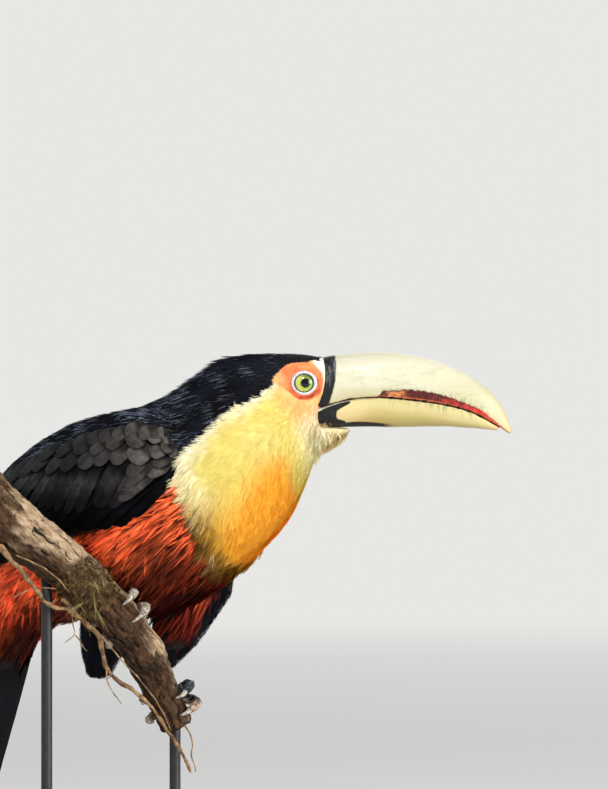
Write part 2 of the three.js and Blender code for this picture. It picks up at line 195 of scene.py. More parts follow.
class Guide:
    """Sections along the bird. A place counts them; an angle turns from the back towards the bird's right."""

    def __init__(self, rows):
        self.rows = np.array(rows, float)
        self.last = len(rows) - 1
        self.places = np.linspace(0, self.last, self.last * 10 + 1)
        self.sections = self.at(self.places)

    def at(self, places):
        values = smooth_rows(self.rows, np.asarray(places, float))
        yaw, pitch, roll = -np.radians(values[:, 3:6]).T
        ca, sa, cb, sb, cc, sc = np.cos(yaw), np.sin(yaw), np.cos(pitch), np.sin(pitch), np.cos(roll), np.sin(roll)
        forward = np.stack([ca * cb, sa * cb, -sb], 1)
        left = np.stack([ca * sb * sc - sa * cc, sa * sb * sc + ca * cc, cb * sc], 1)
        up = np.stack([ca * sb * cc + sa * sc, sa * sb * cc - ca * sc, cb * cc], 1)
        return {"centre": values[:, :3] * MM, "forward": forward, "left": left, "up": up, "size": values[:, 6:9] * MM}

    def point(self, places, angles, lift=0.0):
        """Points at an angle on the sections; lift raises them off the outline, in metres."""
        s = self.at(places)
        turn = np.radians(angles)
        side, rise = np.sin(turn), np.cos(turn)
        reach = np.where(rise > 0, s["size"][:, 1], s["size"][:, 2]) + lift
        width = s["size"][:, 0] + lift
        return s["centre"] - s["left"] * (side * width)[:, None] + s["up"] * (rise * reach)[:, None]

    def outwards(self, places, angles):
        """Directions off the surface."""
        along = self.point(places + 0.04, angles) - self.point(places - 0.04, angles)
        round_ = self.point(places, angles + 1.5) - self.point(places, angles - 1.5)
        return unit(np.cross(along, round_))

    def backwards(self, places, angles):
        return unit(self.point(places + 0.06, angles) - self.point(places - 0.06, angles))

    def locate(self, points):
        """The place and angle of points near the surface."""
        s = self.sections
        place = np.zeros(len(points))
        batch = 20000  # points at a time, which keeps the tables of distances small
        for start in range(0, len(points), batch):
            part = slice(start, start + batch)
            ahead = points[part] @ s["forward"].T - dot(s["centre"], s["forward"])
            away = ((points[part][:, None, :] - s["centre"]) ** 2).sum(-1)
            crossing = (ahead[:, :-1] < 0) & (ahead[:, 1:] >= 0)
            cost = np.where(crossing, away[:, :-1], 10.0)
            best = cost.argmin(1)
            row = np.arange(len(best))
            low, high = ahead[row, best], ahead[row, best + 1]
            share = np.clip(-low / np.maximum(high - low, 1e-9), 0, 1)
            found = self.places[best] + share * (self.places[1] - self.places[0])
            none = cost[row, best] > 5
            found = np.where(none, np.where(ahead[:, 0] >= 0, 0.0, self.last), found)
            place[part] = found
        at = self.at(place)
        out = points - at["centre"]
        return place, np.degrees(np.arctan2(-dot(out, at["left"]), dot(out, at["up"])))


body_guide = Guide(BODY)
wing_guide = Guide(WING_GUIDE)


# ---------------------------------------------------------------- shader helpers
class Value:
    """A number in a material's nodes. Arithmetic on it adds Math nodes."""

    def __init__(self, finish, socket):
        self.finish = finish
        self.socket = socket

    def math(self, operation, *others):
        return self.finish.node("ShaderNodeMath", {"operation": operation}, dict(enumerate((self, *others))))

    def __add__(self, other):
        return self.math("ADD", other)

    __radd__ = __add__

    def __mul__(self, other):
        return self.math("MULTIPLY", other)

    __rmul__ = __mul__

    def __sub__(self, other):
        return self.math("SUBTRACT", other)

    def __rsub__(self, other):
        return self.finish.number(other).math("SUBTRACT", self)

    def __truediv__(self, other):
        return self.math("DIVIDE", other)

    def __pow__(self, other):
        return self.math("POWER", other)

    def between(self, low, high):
        """0 below low, 1 above high, smooth in between; falling when low is above high."""
        ends = {"From Min": low, "From Max": high, "To Min": 0.0, "To Max": 1.0}
        return self.finish.node("ShaderNodeMapRange", {"interpolation_type": "SMOOTHSTEP"}, {"Value": self, **ends})


class Finish:
    """A material and the nodes that make it."""

    def __init__(self, name, **constants):
        self.material = bpy.data.materials.new(name)
        self.material.use_nodes = True
        self.tree = self.material.node_tree
        self.shader = self.tree.nodes["Principled BSDF"]
        for key, value in constants.items():
            self.shader.inputs[key.replace("_", " ")].default_value = value

    def node(self, kind, settings, inputs, output=0):
        made = self.tree.nodes.new(kind)
        for key, value in settings.items():
            setattr(made, key, value)
        for key, value in inputs.items():
            self.feed(made.inputs[key], value)
        return Value(self, made.outputs[output])

    def feed(self, socket, value):
        if isinstance(value, Value):
            self.tree.links.new(value.socket, socket)
        elif isinstance(value, tuple) and len(value) == 3 and socket.type == "RGBA":
            socket.default_value = (*value, 1.0)
        else:
            socket.default_value = value

    def set(self, name, value):
        self.feed(self.shader.inputs[name], value)

    def number(self, value):
        made = self.tree.nodes.new("ShaderNodeValue")
        made.outputs[0].default_value = value
        return Value(self, made.outputs[0])

    def place(self, scale=(1.0, 1.0, 1.0), shift=(0.0, 0.0, 0.0)):
        """Object coordinates in metres, scaled and then moved."""
        objects = self.node("ShaderNodeTexCoord", {}, {}, "Object")
        values = {"Vector": objects, "Location": shift, "Scale": scale}
        return self.node("ShaderNodeMapping", {"vector_type": "POINT"}, values)

    def attribute(self, name, output="Vector"):
        return self.node("ShaderNodeAttribute", {"attribute_name": name}, {}, output)

    def split(self, vector):
        made = self.tree.nodes.new("ShaderNodeSeparateXYZ")
        self.feed(made.inputs[0], vector)
        return tuple(Value(self, made.outputs[i]) for i in range(3))

    def join(self, x, y, z):
        return self.node("ShaderNodeCombineXYZ", {}, {0: x, 1: y, 2: z})

    def noise(self, vector, scale, detail=3.0, rough=0.55, warp=0.0):
        values = {"Vector": vector, "Scale": scale, "Detail": detail, "Roughness": rough, "Distortion": warp}
        return self.node("ShaderNodeTexNoise", {}, values, "Fac")

    def cells(self, vector, scale, feature="F1"):
        return self.node("ShaderNodeTexVoronoi", {"feature": feature}, {"Vector": vector, "Scale": scale}, "Distance")

    def mix(self, a, b, share):
        inputs = {0: share, 6: a, 7: b}
        return self.node("ShaderNodeMix", {"data_type": "RGBA"}, inputs, 2)

    def layers(self, colour, *layers):
        """Colours laid over a colour, each as far as its share says."""
        for over, share in layers:
            colour = self.mix(colour, over, share)
        return colour

    def multiply(self, colour, value):
        """A colour times a number."""
        grey = self.join(value, value, value)
        return self.node("ShaderNodeVectorMath", {"operation": "MULTIPLY"}, {0: colour, 1: grey})

    def bump(self, height, distance, strength):
        values = {"Height": height, "Distance": distance, "Strength": strength}
        self.set("Normal", self.node("ShaderNodeBump", {}, values))


# ---------------------------------------------------------------- mesh helpers
def all_smooth(mesh):
    mesh.polygons.foreach_set("use_smooth", [True] * len(mesh.polygons))


def new_object(name, mesh, finish=None):
    obj = bpy.data.objects.new(name, mesh)
    bpy.context.scene.collection.objects.link(obj)
    if finish:
        mesh.materials.append(finish.material)
    all_smooth(mesh)
    return obj


def from_bmesh(name, bm, finish=None):
    mesh = bpy.data.meshes.new(name)
    bm.to_mesh(mesh)
    bm.free()
    return new_object(name, mesh, finish)


def dress(piece, slot, *nodes):
    """Hands a finished piece over, in the place of CAD nodes where it has any."""
    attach(piece, "root")
    if nodes:
        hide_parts(*nodes)


def settle(obj, kind, **settings):
    """Runs one modifier and makes it part of the object's mesh."""
    modifier = obj.modifiers.new(kind.lower(), kind)
    for key, value in settings.items():
        setattr(modifier, key, value)
    made = bpy.data.meshes.new_from_object(obj.evaluated_get(bpy.context.evaluated_depsgraph_get()))
    obj.modifiers.clear()
    old, obj.data = obj.data, made
    bpy.data.meshes.remove(old)


def arrays(mesh):
    """The points and the outward directions of a mesh."""
    both = []
    for source, field in ((mesh.vertices, "co"), (mesh.vertex_normals, "vector")):
        values = np.zeros(len(source) * 3, np.float32)
        source.foreach_get(field, values)
        both.append(values.reshape(-1, 3).astype(float))
    return both


def spin_round(bm, steps):
    """Turns an outline once round the upright axis."""
    bmesh.ops.spin(
        bm, geom=list(bm.verts) + list(bm.edges), cent=(0, 0, 0), axis=(0, 0, 1), dvec=(0, 0, 0),
        angle=2 * math.pi, steps=steps, use_merge=True, use_duplicate=False,
    )
    bmesh.ops.remove_doubles(bm, verts=bm.verts, dist=1e-7)
    bmesh.ops.recalc_face_normals(bm, faces=bm.faces)


def move_points(mesh, co):
    mesh.vertices.foreach_set("co", np.ascontiguousarray(co, np.float32).ravel())
    mesh.update()


def remeshed(name, nodes, voxel, smoothing, grow, finish=None, reshape=None):
    """One smooth closed piece from copies of CAD nodes, grown by some metres and melted together.

    Voxel is the size of the cells in millimetres, and smoothing is how often the result is smoothed.
    """
    bm = bmesh.new()
    for node in nodes:
        bm.from_mesh(NODES[node].data)
    bmesh.ops.remove_doubles(bm, verts=bm.verts, dist=1e-6)
    bm.normal_update()
    for vert in bm.verts:
        vert.co += vert.normal * grow
    if reshape:
        reshape(bm)
    obj = from_bmesh(name, bm)
    settle(obj, "REMESH", mode="VOXEL", voxel_size=voxel * MM)
    settle(obj, "SMOOTH", factor=0.5, iterations=smoothing)
    if finish:
        obj.data.materials.append(finish.material)
    all_smooth(obj.data)
    return obj


def set_attribute(mesh, name, values):
    """A colour where the name is tint, three numbers otherwise, for each point of a mesh."""
    values = np.asarray(values, np.float32)
    if name == "tint":
        values = np.column_stack([values, np.ones(len(values), np.float32)])
    kind, field = ("FLOAT_COLOR", "color") if name == "tint" else ("FLOAT_VECTOR", "vector")
    mesh.attributes.new(name, kind, "POINT").data.foreach_set(field, values.ravel())


# ---------------------------------------------------------------- skin
FLESH = ["head", "neck", "trunk", "tail", "wing_right", "wing_left", "thigh_right", "thigh_left"]
BODY_PART, TAIL_PART, WING_PART, THIGH_PART = range(4)
JET, YELLOW, RUDDY, BARE = range(4)  # kinds of plumage, and the bare skin round the eye
EYE_AT = np.array([EYE["x"], HEAD_Y, EYE["z"]]) * MM
MID_Y = HEAD_Y * MM
EYE_SKIN_REACH = 0.0155  # the skin is finer within this distance of an eye, in metres
FACE_FROM_X = 0.07  # metres; the head in front of this is face
CHIN_BELOW_Z = 0.2505  # metres; the face below this is chin


def eye_distance(co):
    """How far points lie from an eye's middle in side view, stretched so that the bare skin's rim is at 1."""
    x = (co[:, 0] - EYE_AT[0]) / MM
    z = (co[:, 2] - EYE_AT[2]) / MM
    centre = 0.85 + 1.9 * smoothstep(0, -10.5, x) - 0.8 * smoothstep(-10.5, -16, x)
    high = np.abs(z - centre) / 10.15
    front = np.hypot(x / 10.8, high)
    return np.where(x < 0, (np.abs(x) / 17.2) ** 1.8 + high, front)


def part_of(points):
    """Which of the flesh parts each point belongs to."""
    away = []
    for group in (FLESH[:3], FLESH[3:4], FLESH[4:6], FLESH[6:]):
        bm = bmesh.new()
        for node in group:
            bm.from_mesh(NODES[node].data)
        tree = BVHTree.FromBMesh(bm)
        bm.free()
        away.append([tree.find_nearest(p)[3] for p in points.tolist()])
    return np.argmin(away, 0)


def marking(co, place, angle, part, normal):
    """The plumage's colour and kind at points."""
    x, y, z = co.T
    count, turn = len(co), np.abs(angle)
    wander, fine, strand = ripple(co, 0.022, 3), ripple(co, 0.006, 4), ripple(co, 0.0014, 5)
    sway = turn + 5 * wander
    ring = eye_distance(co)
    black_to = np.interp(place, *zip(*BLACK_EDGE)) + 1.6 * wander + 1.2 * fine
    bib_to = np.interp(turn, *zip(*BIB_EDGE)) + 0.06 * wander + 0.05 * fine
    kind = np.where(turn < black_to, JET, np.where(place < bib_to, YELLOW, RUDDY))

    # The bib: whitish along its edges and chin, yellow within, orange down its middle, and painted shade in ochre and
    # olive along its lower edge, with pale strands through the olive.
    margin = smoothstep(22, 2, turn - black_to - 3 * wander)
    chin = smoothstep(1.7, 0.5, place) * smoothstep(80, 112, turn)
    lower = smoothstep(0.75, 0.15, bib_to - place)
    onset = 130 + 13 * smoothstep(3.2, 4.3, place)
    middle = smoothstep(onset - 16, onset + 13, sway) * smoothstep(2.2, 2.9, place + 0.1 * wander)
    front = smoothstep(2.3, 1.3, place) * smoothstep(92, 112, turn)
    bottom_shade = smoothstep(0.42, 0.05, bib_to - place + 0.06 * fine) * smoothstep(126, 142, turn)
    cheek = smoothstep(2.7, 1.2, ring) * smoothstep(2.9, 2.0, place) * smoothstep(0.070, 0.090, x)
    tint = layered(
        BIB_YELLOW, count,
        (BIB_PALE, np.clip(0.95 * margin + chin + 0.1 * wander, 0, 1)),
        (BIB_GOLD, 0.75 * smoothstep(112, 136, sway) * smoothstep(2.2, 3.6, place)),
        (BIB_ORANGE, np.clip(middle, 0, 1) * 0.95),
        (BIB_PALE, 0.7 * front),
        (CHIN, smoothstep(0.101, 0.107, x) * smoothstep(0.256, 0.249, z) * 0.9),
        (BIB_SHADE_OCHRE, lower * smoothstep(118, 145, turn) * 0.85),
        (BIB_SHADE_OLIVE, bottom_shade * np.clip(0.72 + 0.55 * strand, 0, 1)),
        (CHIN, bottom_shade * np.clip(-0.15 - 0.6 * strand, 0, 0.4)),
        (BIB_PALE, 0.65 * lower * smoothstep(146, 112, turn)),
        (CHEEK, cheek * 0.95),
    )

    # The belly, the thighs and the rump: red, with painted shade low on the belly's underside, over the far thigh and
    # on the lower part of each thigh.
    belly_shade = smoothstep(122, 150, turn + 8 * wander) * smoothstep(5.1, 5.7, place)
    thigh = part == THIGH_PART
    leg = thigh * np.maximum(smoothstep(-0.03, 0.0, y), smoothstep(0.168, 0.152, z))
    red = layered(
        RED, count,
        (RED_DEEP, np.clip(0.3 + 0.45 * wander + 0.3 * fine, 0, 1)),
        (RED_IN_SHADE, np.clip((0.86 + 0.12 * fine) * belly_shade, 0, 1)),
        (MAROON_IN_SHADE, np.clip((0.92 + 0.08 * fine) * leg, 0, 1)),
    )
    rump = (turn < 75) & (place > 8.4) & (place < 9.7) & (part == BODY_PART)
    vent = (turn > 100) & (place < 10.9)
    # A thigh is black along its front, rear and lower edges and where it faces left, and red elsewhere.
    outer = (x > 0.558 * z - 0.0427) | (normal[:, 1] > 0.45) | (z < 0.128) | (x < 0.004)
    kind[rump | thigh & ~outer] = RUDDY
    kind[(part == WING_PART) | (part == TAIL_PART) & ~vent | thigh & outer] = JET
    sheen = layered(BLACK, count, (BLACK_SHEEN, np.clip(0.35 + 0.3 * wander, 0, 1)))
    tint[kind == RUDDY] = red[kind == RUDDY]
    tint[kind == JET] = sheen[kind == JET]

    # Bare skin round the eye, and the cream wedge between it, the cap and the bill, with painted shadow in front of the
    # eye and painted shade in a fold below it.
    face = (place < 2.9) & (part == BODY_PART)
    bare = face & (ring < 1.0 + 0.02 * fine) | face & (x > 0.0975) & (turn > black_to) & (z > 0.268)
    ahead, _, above = ((co - EYE_AT) / MM).T
    reach = np.hypot(ahead, above)
    around = np.degrees(np.arctan2(above, ahead)) % 360
    creases = smoothstep(0.2, 1.0, fine + 0.4 * wander) * 0.3
    # Painted shadow: the skin in front of the eye, up to a little above its middle, takes the deep orbit colour.
    rim = smoothstep(5.5, 8.5, ahead) * smoothstep(6, 0, above) * 0.35
    below = smoothstep(188, 214, around) * smoothstep(330, 290, around)
    flush = np.exp(-((reach - 8.2 - 0.4 * fine) / 1.7) ** 2) * below
    fold_shade = smoothstep(238, 262, around) * smoothstep(345, 312, around)
    fold_shade = (0.8 + 0.35 * fine) * np.exp(-((reach - 8.0 - 0.5 * fine) / 0.85) ** 2) * fold_shade
    orbit = layered(
        ORBIT, count,
        (CHEEK, 0.75 * smoothstep(-8.5, -15, ahead + wander)),
        (CHEEK, 0.3 * smoothstep(7, 10, above + 0.5 * wander)),
        (FLUSH, 0.4 * smoothstep(8.6, 6.6, reach) * smoothstep(5, -3, above)),
        (ORBIT_DEEP_AND_SHADE, np.clip(creases + rim, 0, 1)),
        (FLUSH, np.clip(flush, 0, 0.85)),
        (CREASE_SHADE, np.clip(1.1 * fold_shade, 0, 1)),
        (CREAM, smoothstep(14.0, 16.6, ahead + above + 0.5 * fine)),
    )
    tint[bare], kind[bare] = orbit[bare], BARE
    return tint, kind


def skin_finish():
    finish = Finish("skin", Roughness=0.66, Specular_IOR_Level=0.22)
    place = finish.place()
    pebble = finish.cells(place, 1500.0)
    creases = finish.noise(place, 420.0, 4.0, 0.6)
    tone = finish.noise(place, 160.0, 4.0, 0.6)
    shine = tone.between(0.2, 0.8) * 0.2 + (creases * 0.3 + 0.66 + pebble * 0.16)
    finish.set("Base Color", finish.multiply(finish.attribute("tint", "Color"), shine))
    finish.bump(pebble * 0.6 + creases, 0.0003, 0.8)
    return finish


def lengthen_face(bm):
    """Carries the face's flat front on into the bill, so that no gap opens round the bill's base."""
    front = body_guide.at([0.0])
    centre, forward = Vector(front["centre"][0]), Vector(front["forward"][0])
    for vert in bm.verts:
        if abs((vert.co - centre).dot(forward)) < 0.0007 and vert.co.z > 0.2475:  # on the front, above the chin
            low = min(max((0.266 - vert.co.z) / 0.008, 0), 1)
            vert.co = centre + (vert.co - centre) * 0.95 + forward * 0.007 * (1 - low)
            vert.co.y = centre.y + (vert.co.y - centre.y) * (1 - 0.16 * low)


def drop_islands(bm):
    """Deletes every part of the mesh but the largest, such as hollows left between two nodes."""
    left, islands = set(bm.verts), []
    while left:
        island = [left.pop()]
        for vert in island:
            others = {edge.other_vert(vert) for edge in vert.link_edges} & left
            left -= others
            island.extend(others)
        islands.append(island)
    islands.sort(key=len)
    bmesh.ops.delete(bm, geom=[vert for island in islands[:-1] for vert in island], context="VERTS")


def build_skin():
    skin = remeshed("skin", FLESH, SKIN_VOXEL, 14, 0.0003, reshape=lengthen_face)
    bm = bmesh.new()
    bm.from_mesh(skin.data)
    drop_islands(bm)
    near_eye = []
    for edge in bm.edges:
        middle = (edge.verts[0].co + edge.verts[1].co) / 2
        if math.hypot(middle.x - EYE_AT[0], middle.z - EYE_AT[2]) < EYE_SKIN_REACH and middle.x > FACE_FROM_X:
            near_eye.append(edge)
    bmesh.ops.subdivide_edges(bm, edges=near_eye, cuts=1, use_grid_fill=True)
    bmesh.ops.triangulate(bm, faces=bm.faces)
    bm.to_mesh(skin.data)
    bm.free()
    all_smooth(skin.data)
    co, normal = arrays(skin.data)
    part = part_of(co)
    place, angle = body_guide.locate(co)
    _, kind = marking(co, place, angle, part, normal)
    body, ring = part == BODY_PART, eye_distance(co)

    # The flesh lies under its coat: less deep on the face, and not at all under the chin's tuft.
    depth = np.choose(kind, [0.5, 0.7, 1.1, 0.2]) * COAT_DEPTH
    shallow = 0.12 + 0.88 * smoothstep(0.0, 2.6, place) * smoothstep(1.0, 1.9, ring)
    depth = np.where(body, depth * shallow, depth)
    chin = body & (place < 0.8) & (co[:, 2] < CHIN_BELOW_Z)
    depth = np.where(chin, -0.9 * np.clip(normal[:, 2], 0, 1), depth)
    depth = np.where((part == WING_PART) | (part == TAIL_PART), 1.2, depth) * MM
    co = co - normal * depth[:, None]

    # The tail's flesh ends short of its feathers.
    s = body_guide.at(np.clip(place, 0, body_guide.last))
    end = ((part == TAIL_PART) * smoothstep(12.4, 14.0, place))[:, None]
    co = s["centre"] + (co - s["centre"]) * (1 - 0.4 * end) + s["forward"] * (end * 9 * MM)

    # The skin round each eye lies level with the lids.
    reach = np.hypot(co[:, 0] - EYE_AT[0], co[:, 2] - EYE_AT[2]) / MM
    side, out = np.sign(co[:, 1] - MID_Y), np.abs(co[:, 1] - MID_Y) / MM
    seat = smoothstep(12.5, 7.0, reach) * (out > 7) * (place < 2.9) * body
    level = EYE["out"] + 4.9 - 2.6 * smoothstep(5.6, 4.2, reach)
    co[:, 1] = MID_Y + side * (out * (1 - seat) + level * seat) * MM

    # Fine folds run round the eye.
    near = smoothstep(1.15, 0.85, ring) * (place < 3) * body
    folds = np.sin(ring * 34 + 1.3 * ripple(co, 0.006, 8)) * 0.10 + ripple(co, 0.0016, 9) * 0.10
    move_points(skin.data, co + normal * (near * folds * MM)[:, None])
    co, normal = arrays(skin.data)
    tint, kind = marking(co, place, angle, part, normal)
    # Painted shade under the coat: the skin is painted darker under the feathers, most of all under the red locks, so
    # that the gaps show dark.
    set_attribute(skin.data, "tint", tint * np.choose(kind, [0.5, 0.88, 0.12, 1.0])[:, None])
    skin.data.materials.append(skin_finish().material)
    dress(skin, "plumage_yellow", *FLESH)
    return SimpleNamespace(co=co, normal=normal, part=part, place=place, angle=angle, kind=kind)


def tree_of(points):
    """A search tree for the nearest of some points."""
    made = KDTree(len(points))
    for index, point in enumerate(points.tolist()):
        made.insert(point, index)
    made.balance()
    return made


skin = build_skin()
tree = tree_of(skin.co)


def nearest(points):
    return np.array([tree.find(p)[1] for p in points.tolist()])


def lie_of_plumage():
    """The direction in which the plumage lies at each point of the skin."""
    place, angle, part = skin.place, skin.angle, skin.part
    flow = body_guide.backwards(np.clip(place, 0.1, body_guide.last - 0.1), angle)
    face = smoothstep(1.6, 0.2, place)[:, None]
    flow = unit(flow * (1 - face) + np.array([-0.62, 0.0, -0.62]) * face)
    chin = (smoothstep(0.2535, 0.249, skin.co[:, 2]) * smoothstep(1.4, 0.6, place))[:, None]
    flow = unit(flow * (1 - chin) + np.array([-0.25, 0.0, -1.0]) * chin)
    turn = np.abs(angle)
    hang = smoothstep(95, 165, turn) * smoothstep(4.6, 6.0, place) * 0.55
    hang = np.where(skin.kind == YELLOW, 1.7 * smoothstep(84, 150, turn) * smoothstep(0.8, 2.4, place), hang)
    hang = np.where(part == THIGH_PART, 1.1, hang)
    flow = unit(flow + np.array([0, 0, -1.0]) * hang[:, None])
    # Round the bare skin the feathers part and lie along its rim.
    away = skin.co - EYE_AT
    away[:, 1] = 0
    away = unit(away)
    close = smoothstep(1.9, 1.05, eye_distance(skin.co)) * (place < 2.9)
    inwards = np.minimum(dot(flow, away), 0) - 0.12
    flow = flow - away * (inwards * close)[:, None]
    return unit(flow - skin.normal * dot(flow, skin.normal)[:, None])


skin.flow = lie_of_plumage()


# ---------------------------------------------------------------- feathers
def barb_fan(barbs, spread, segments, width, seed, curl=0.0):
    """A tuft of fine barbs that leave one root: points as (across, along, height, tone) and its faces."""
    random = np.random.default_rng(seed)
    bm = bmesh.new()
    tone = bm.verts.layers.float.new("tone")
    for k in range(barbs):
        made = bmesh.ops.create_grid(bm, x_segments=1, y_segments=segments, size=1)
        lean = spread * ((k + 0.5) / barbs * 2 - 1) + random.normal(0, spread * 0.16)
        reach = random.uniform(0.72, 1.0)
        rise = random.uniform(-0.3, 1.0)
        bend = random.normal(0, 0.12) + curl * lean
        start = random.uniform(-0.04, 0.1)
        own = random.uniform(0, 1)
        for vert in made["verts"]:
            vert[tone] = own
            t = (vert.co.y + 1) / 2
            taper = width * (0.75 + 0.5 * t) if t < 0.6 else width * max(1.05 * (1 - t) / 0.4, 0.12)
            vert.co = (
                lean * (0.25 + 0.75 * t) + bend * t * t + vert.co.x * taper,
                start + (reach - start) * t,
                0.35 * rise * t + 0.04 * vert.co.x,
            )
    return freeze(bm)


def vane(rows, columns, tip, seed, notch=0.0, slant=0.0, crowd=1.0):
    """One feather's vane, domed across: points as (across, along, height, tone) and its faces.

    A crowd over 1 draws its rows together towards the tip, which rounds it.
    """
    random = np.random.default_rng(seed)
    bm = bmesh.new()
    tone = bm.verts.layers.float.new("tone")
    made = bmesh.ops.create_grid(bm, x_segments=columns, y_segments=rows, size=1)
    for vert in made["verts"]:
        u = vert.co.x
        v = 1 - ((1 - vert.co.y) / 2) ** crowd
        shape = math.sqrt(max(1 - max((v - tip) / (1 - tip), 0) ** 2, 0)) * (0.35 + 0.65 * min(v / 0.35, 1))
        fray = notch * random.uniform(-1, 0.4) * abs(u) * (v > 0.3)
        v_bent = v - slant * abs(u) * v + fray * 0.1
        vert[tone] = 0.5
        vert.co = (u * max(shape, 0.04) * (1 + fray * 0.3), v_bent, 0.16 * (1 - u * u) - 0.08 * abs(u) ** 3)
    return freeze(bm)


def freeze(bm):
    """A pattern's points and faces as arrays."""
    bmesh.ops.recalc_face_normals(bm, faces=bm.faces)
    bm.verts.ensure_lookup_table()
    tone = bm.verts.layers.float["tone"]
    points = np.array([(*v.co, v[tone]) for v in bm.verts])
    faces = np.array([[v.index for v in f.verts] for f in bm.faces])
    bm.free()
    return points, faces


STATIONS = np.array([0.0, 0.33, 0.66, 1.0])  # where a feather's path has its points, from root to tip
FACE_LIMIT = 96000  # faces of one piece of plumage, each of two triangles
SPOT_SIZE = 0.00145  # half of what one feather takes up on the unwrapped skin


def paths_on_skin(index, jitter, heading, length):
    """Paths of feathers that start near skin points and follow the skin."""
    co, normal, flow = skin.co, skin.normal, skin.flow
    p = co[index] + jitter
    n = normal[index]
    d = unit(heading - n * dot(heading, n)[:, None])
    points, normals, touched = [p], [n], [index]
    for k in range(1, len(STATIONS)):
        step = (STATIONS[k] - STATIONS[k - 1]) * length
        ahead = p + d * step[:, None]
        i = nearest(ahead)
        touched.append(i)
        n = normal[i]
        p = ahead - n * dot(ahead - co[i], n)[:, None]
        d = 0.75 * d + 0.25 * flow[i]
        d = unit(d - n * dot(d, n)[:, None])
        points.append(p)
        normals.append(n)
    return np.stack(points, 1), np.stack(normals, 1), np.stack(touched, 1)


def plumage(name, patterns, points, normals, width, rise, thick, tint, spot, finish, slot, sheen_strength=1.0):
    """Copies of the patterns laid along paths, joined into pieces that each stay under the face limit.

    Each feather has half its width, how far its tip rises off the path, a scale for its pattern's own height, a
    colour, its place on the unwrapped skin and a scale for its painted sheen.
    """
    count = len(points)
    width, rise, thick, sheen_strength = (np.ones(count) * values for values in (width, rise, thick, sheen_strength))
    choice = np.random.default_rng(count).integers(0, len(patterns), count)
    side = unit(np.cross(unit(np.gradient(points, axis=1)), normals))
    batches, total = [], 0
    for c, (shape, faces) in enumerate(patterns):
        rows = np.flatnonzero(choice == c)
        if not len(rows):
            continue
        u, v, h, own = shape.T
        along = np.clip(v, 0, 1)
        at = along * (len(STATIONS) - 1)
        k = np.minimum(at.astype(int), len(STATIONS) - 2)
        f = (at - k)[None, :, None]
        centre, over, wide = (path[rows][:, k] * (1 - f) + path[rows][:, k + 1] * f for path in (points, normals, side))
        height = rise[rows][:, None] * along ** 0.8 + thick[rows][:, None] * h
        co = centre + wide * (u * width[rows][:, None])[..., None] + unit(over) * height[..., None]
        loops = faces[None] + (np.arange(len(rows)) * len(shape))[:, None, None] + total
        total += len(rows) * len(shape)
        barb = np.tile(np.stack([u, v, own], 1), (len(rows), 1))
        barb[:, 2] *= np.repeat(sheen_strength[rows], len(shape))
        patch = np.stack([np.clip(u, -1, 1), 2 * along - 1], 1) * SPOT_SIZE
        batches.append((
            co.reshape(-1, 3), loops.reshape(-1, faces.shape[1]), np.repeat(tint[rows], len(shape), 0), barb,
            (spot[rows][:, None, :] + patch).reshape(-1, 2),
        ))
    co, faces, tints, barbs, uvs = map(np.concatenate, zip(*batches))
    for number, start in enumerate(range(0, len(faces), FACE_LIMIT)):
        part = faces[start:start + FACE_LIMIT]
        used, local = np.unique(part, return_inverse=True)
        local = local.reshape(part.shape)
        mesh = bpy.data.meshes.new(name)
        mesh.vertices.add(len(used))
        mesh.vertices.foreach_set("co", co[used].astype(np.float32).ravel())
        mesh.loops.add(local.size)
        mesh.loops.foreach_set("vertex_index", local.astype(np.int32).ravel())
        mesh.polygons.add(len(local))
        mesh.polygons.foreach_set("loop_start", np.arange(0, local.size, local.shape[1], dtype=np.int32))
        mesh.update(calc_edges=True)
        mesh.validate()
        set_attribute(mesh, "tint", tints[used])
        set_attribute(mesh, "barb", barbs[used])
        layer = mesh.uv_layers.new(name="OFBake")
        layer.data.foreach_set("uv", uvs[used][local].astype(np.float32).ravel())
        dress(new_object(f"{name}_{number + 1}", mesh, finish), slot)


def spots(place, angle):
    """Places of tufts on the unwrapped skin, as OFBake coordinates."""
    x = 0.02 + 0.96 * (np.asarray(angle) + 180) / 360
    y = 0.02 + 0.96 * np.clip((np.asarray(place) + 0.6) / 14.8, 0, 1)
    return np.stack([x, y], 1)


def scatter(mask, gap, seed):
    """Skin points spread evenly over a region, about one for each gap by gap."""
    random = np.random.default_rng(seed)
    index = np.flatnonzero(mask)
    random.shuffle(index)
    cell = np.floor(skin.co[index] / gap + random.uniform(0, 1, 3)).astype(np.int64)
    key = cell[:, 0] * 73856093 ^ cell[:, 1] * 19349663 ^ cell[:, 2] * 83492791  # large primes keep cells apart
    _, first = np.unique(key, return_index=True)
    return index[first]


def plume_finish(name, rough, deep, barb_rate, relief, contrast=0.1, lights=None, **constants):
    """Feather: painted shade where it leaves the skin, streaked along its barbs, some barbs lighter than others,
    painted sheen on the lightest.
    """
    finish = Finish(name, Roughness=rough, **constants)
    colour = finish.attribute("tint", "Color")
    across, along, own = finish.split(finish.attribute("barb"))
    # Painted sheen: the lightest barbs take the highlight colour.
    if lights:
        colour = finish.mix(colour, lights, own.between(0.8, 1.0) * along.between(0.1, 0.5))
    slope = along * barb_rate - across.math("ABSOLUTE") * (barb_rate * 0.45)
    barbs = slope.math("SINE") * 0.5 + 0.5
    # Painted shade: a feather darkens towards its root, where the feathers over it cover it.
    root = along.between(0.0, 0.55) * (1.03 - deep) + deep
    streak = barbs * 0.08 + 0.96
    finish.set("Base Color", finish.multiply(colour, root * streak * (own * (2 * contrast) + (1.0 - contrast))))
    finish.bump(barbs, 0.0002, relief)
    return finish


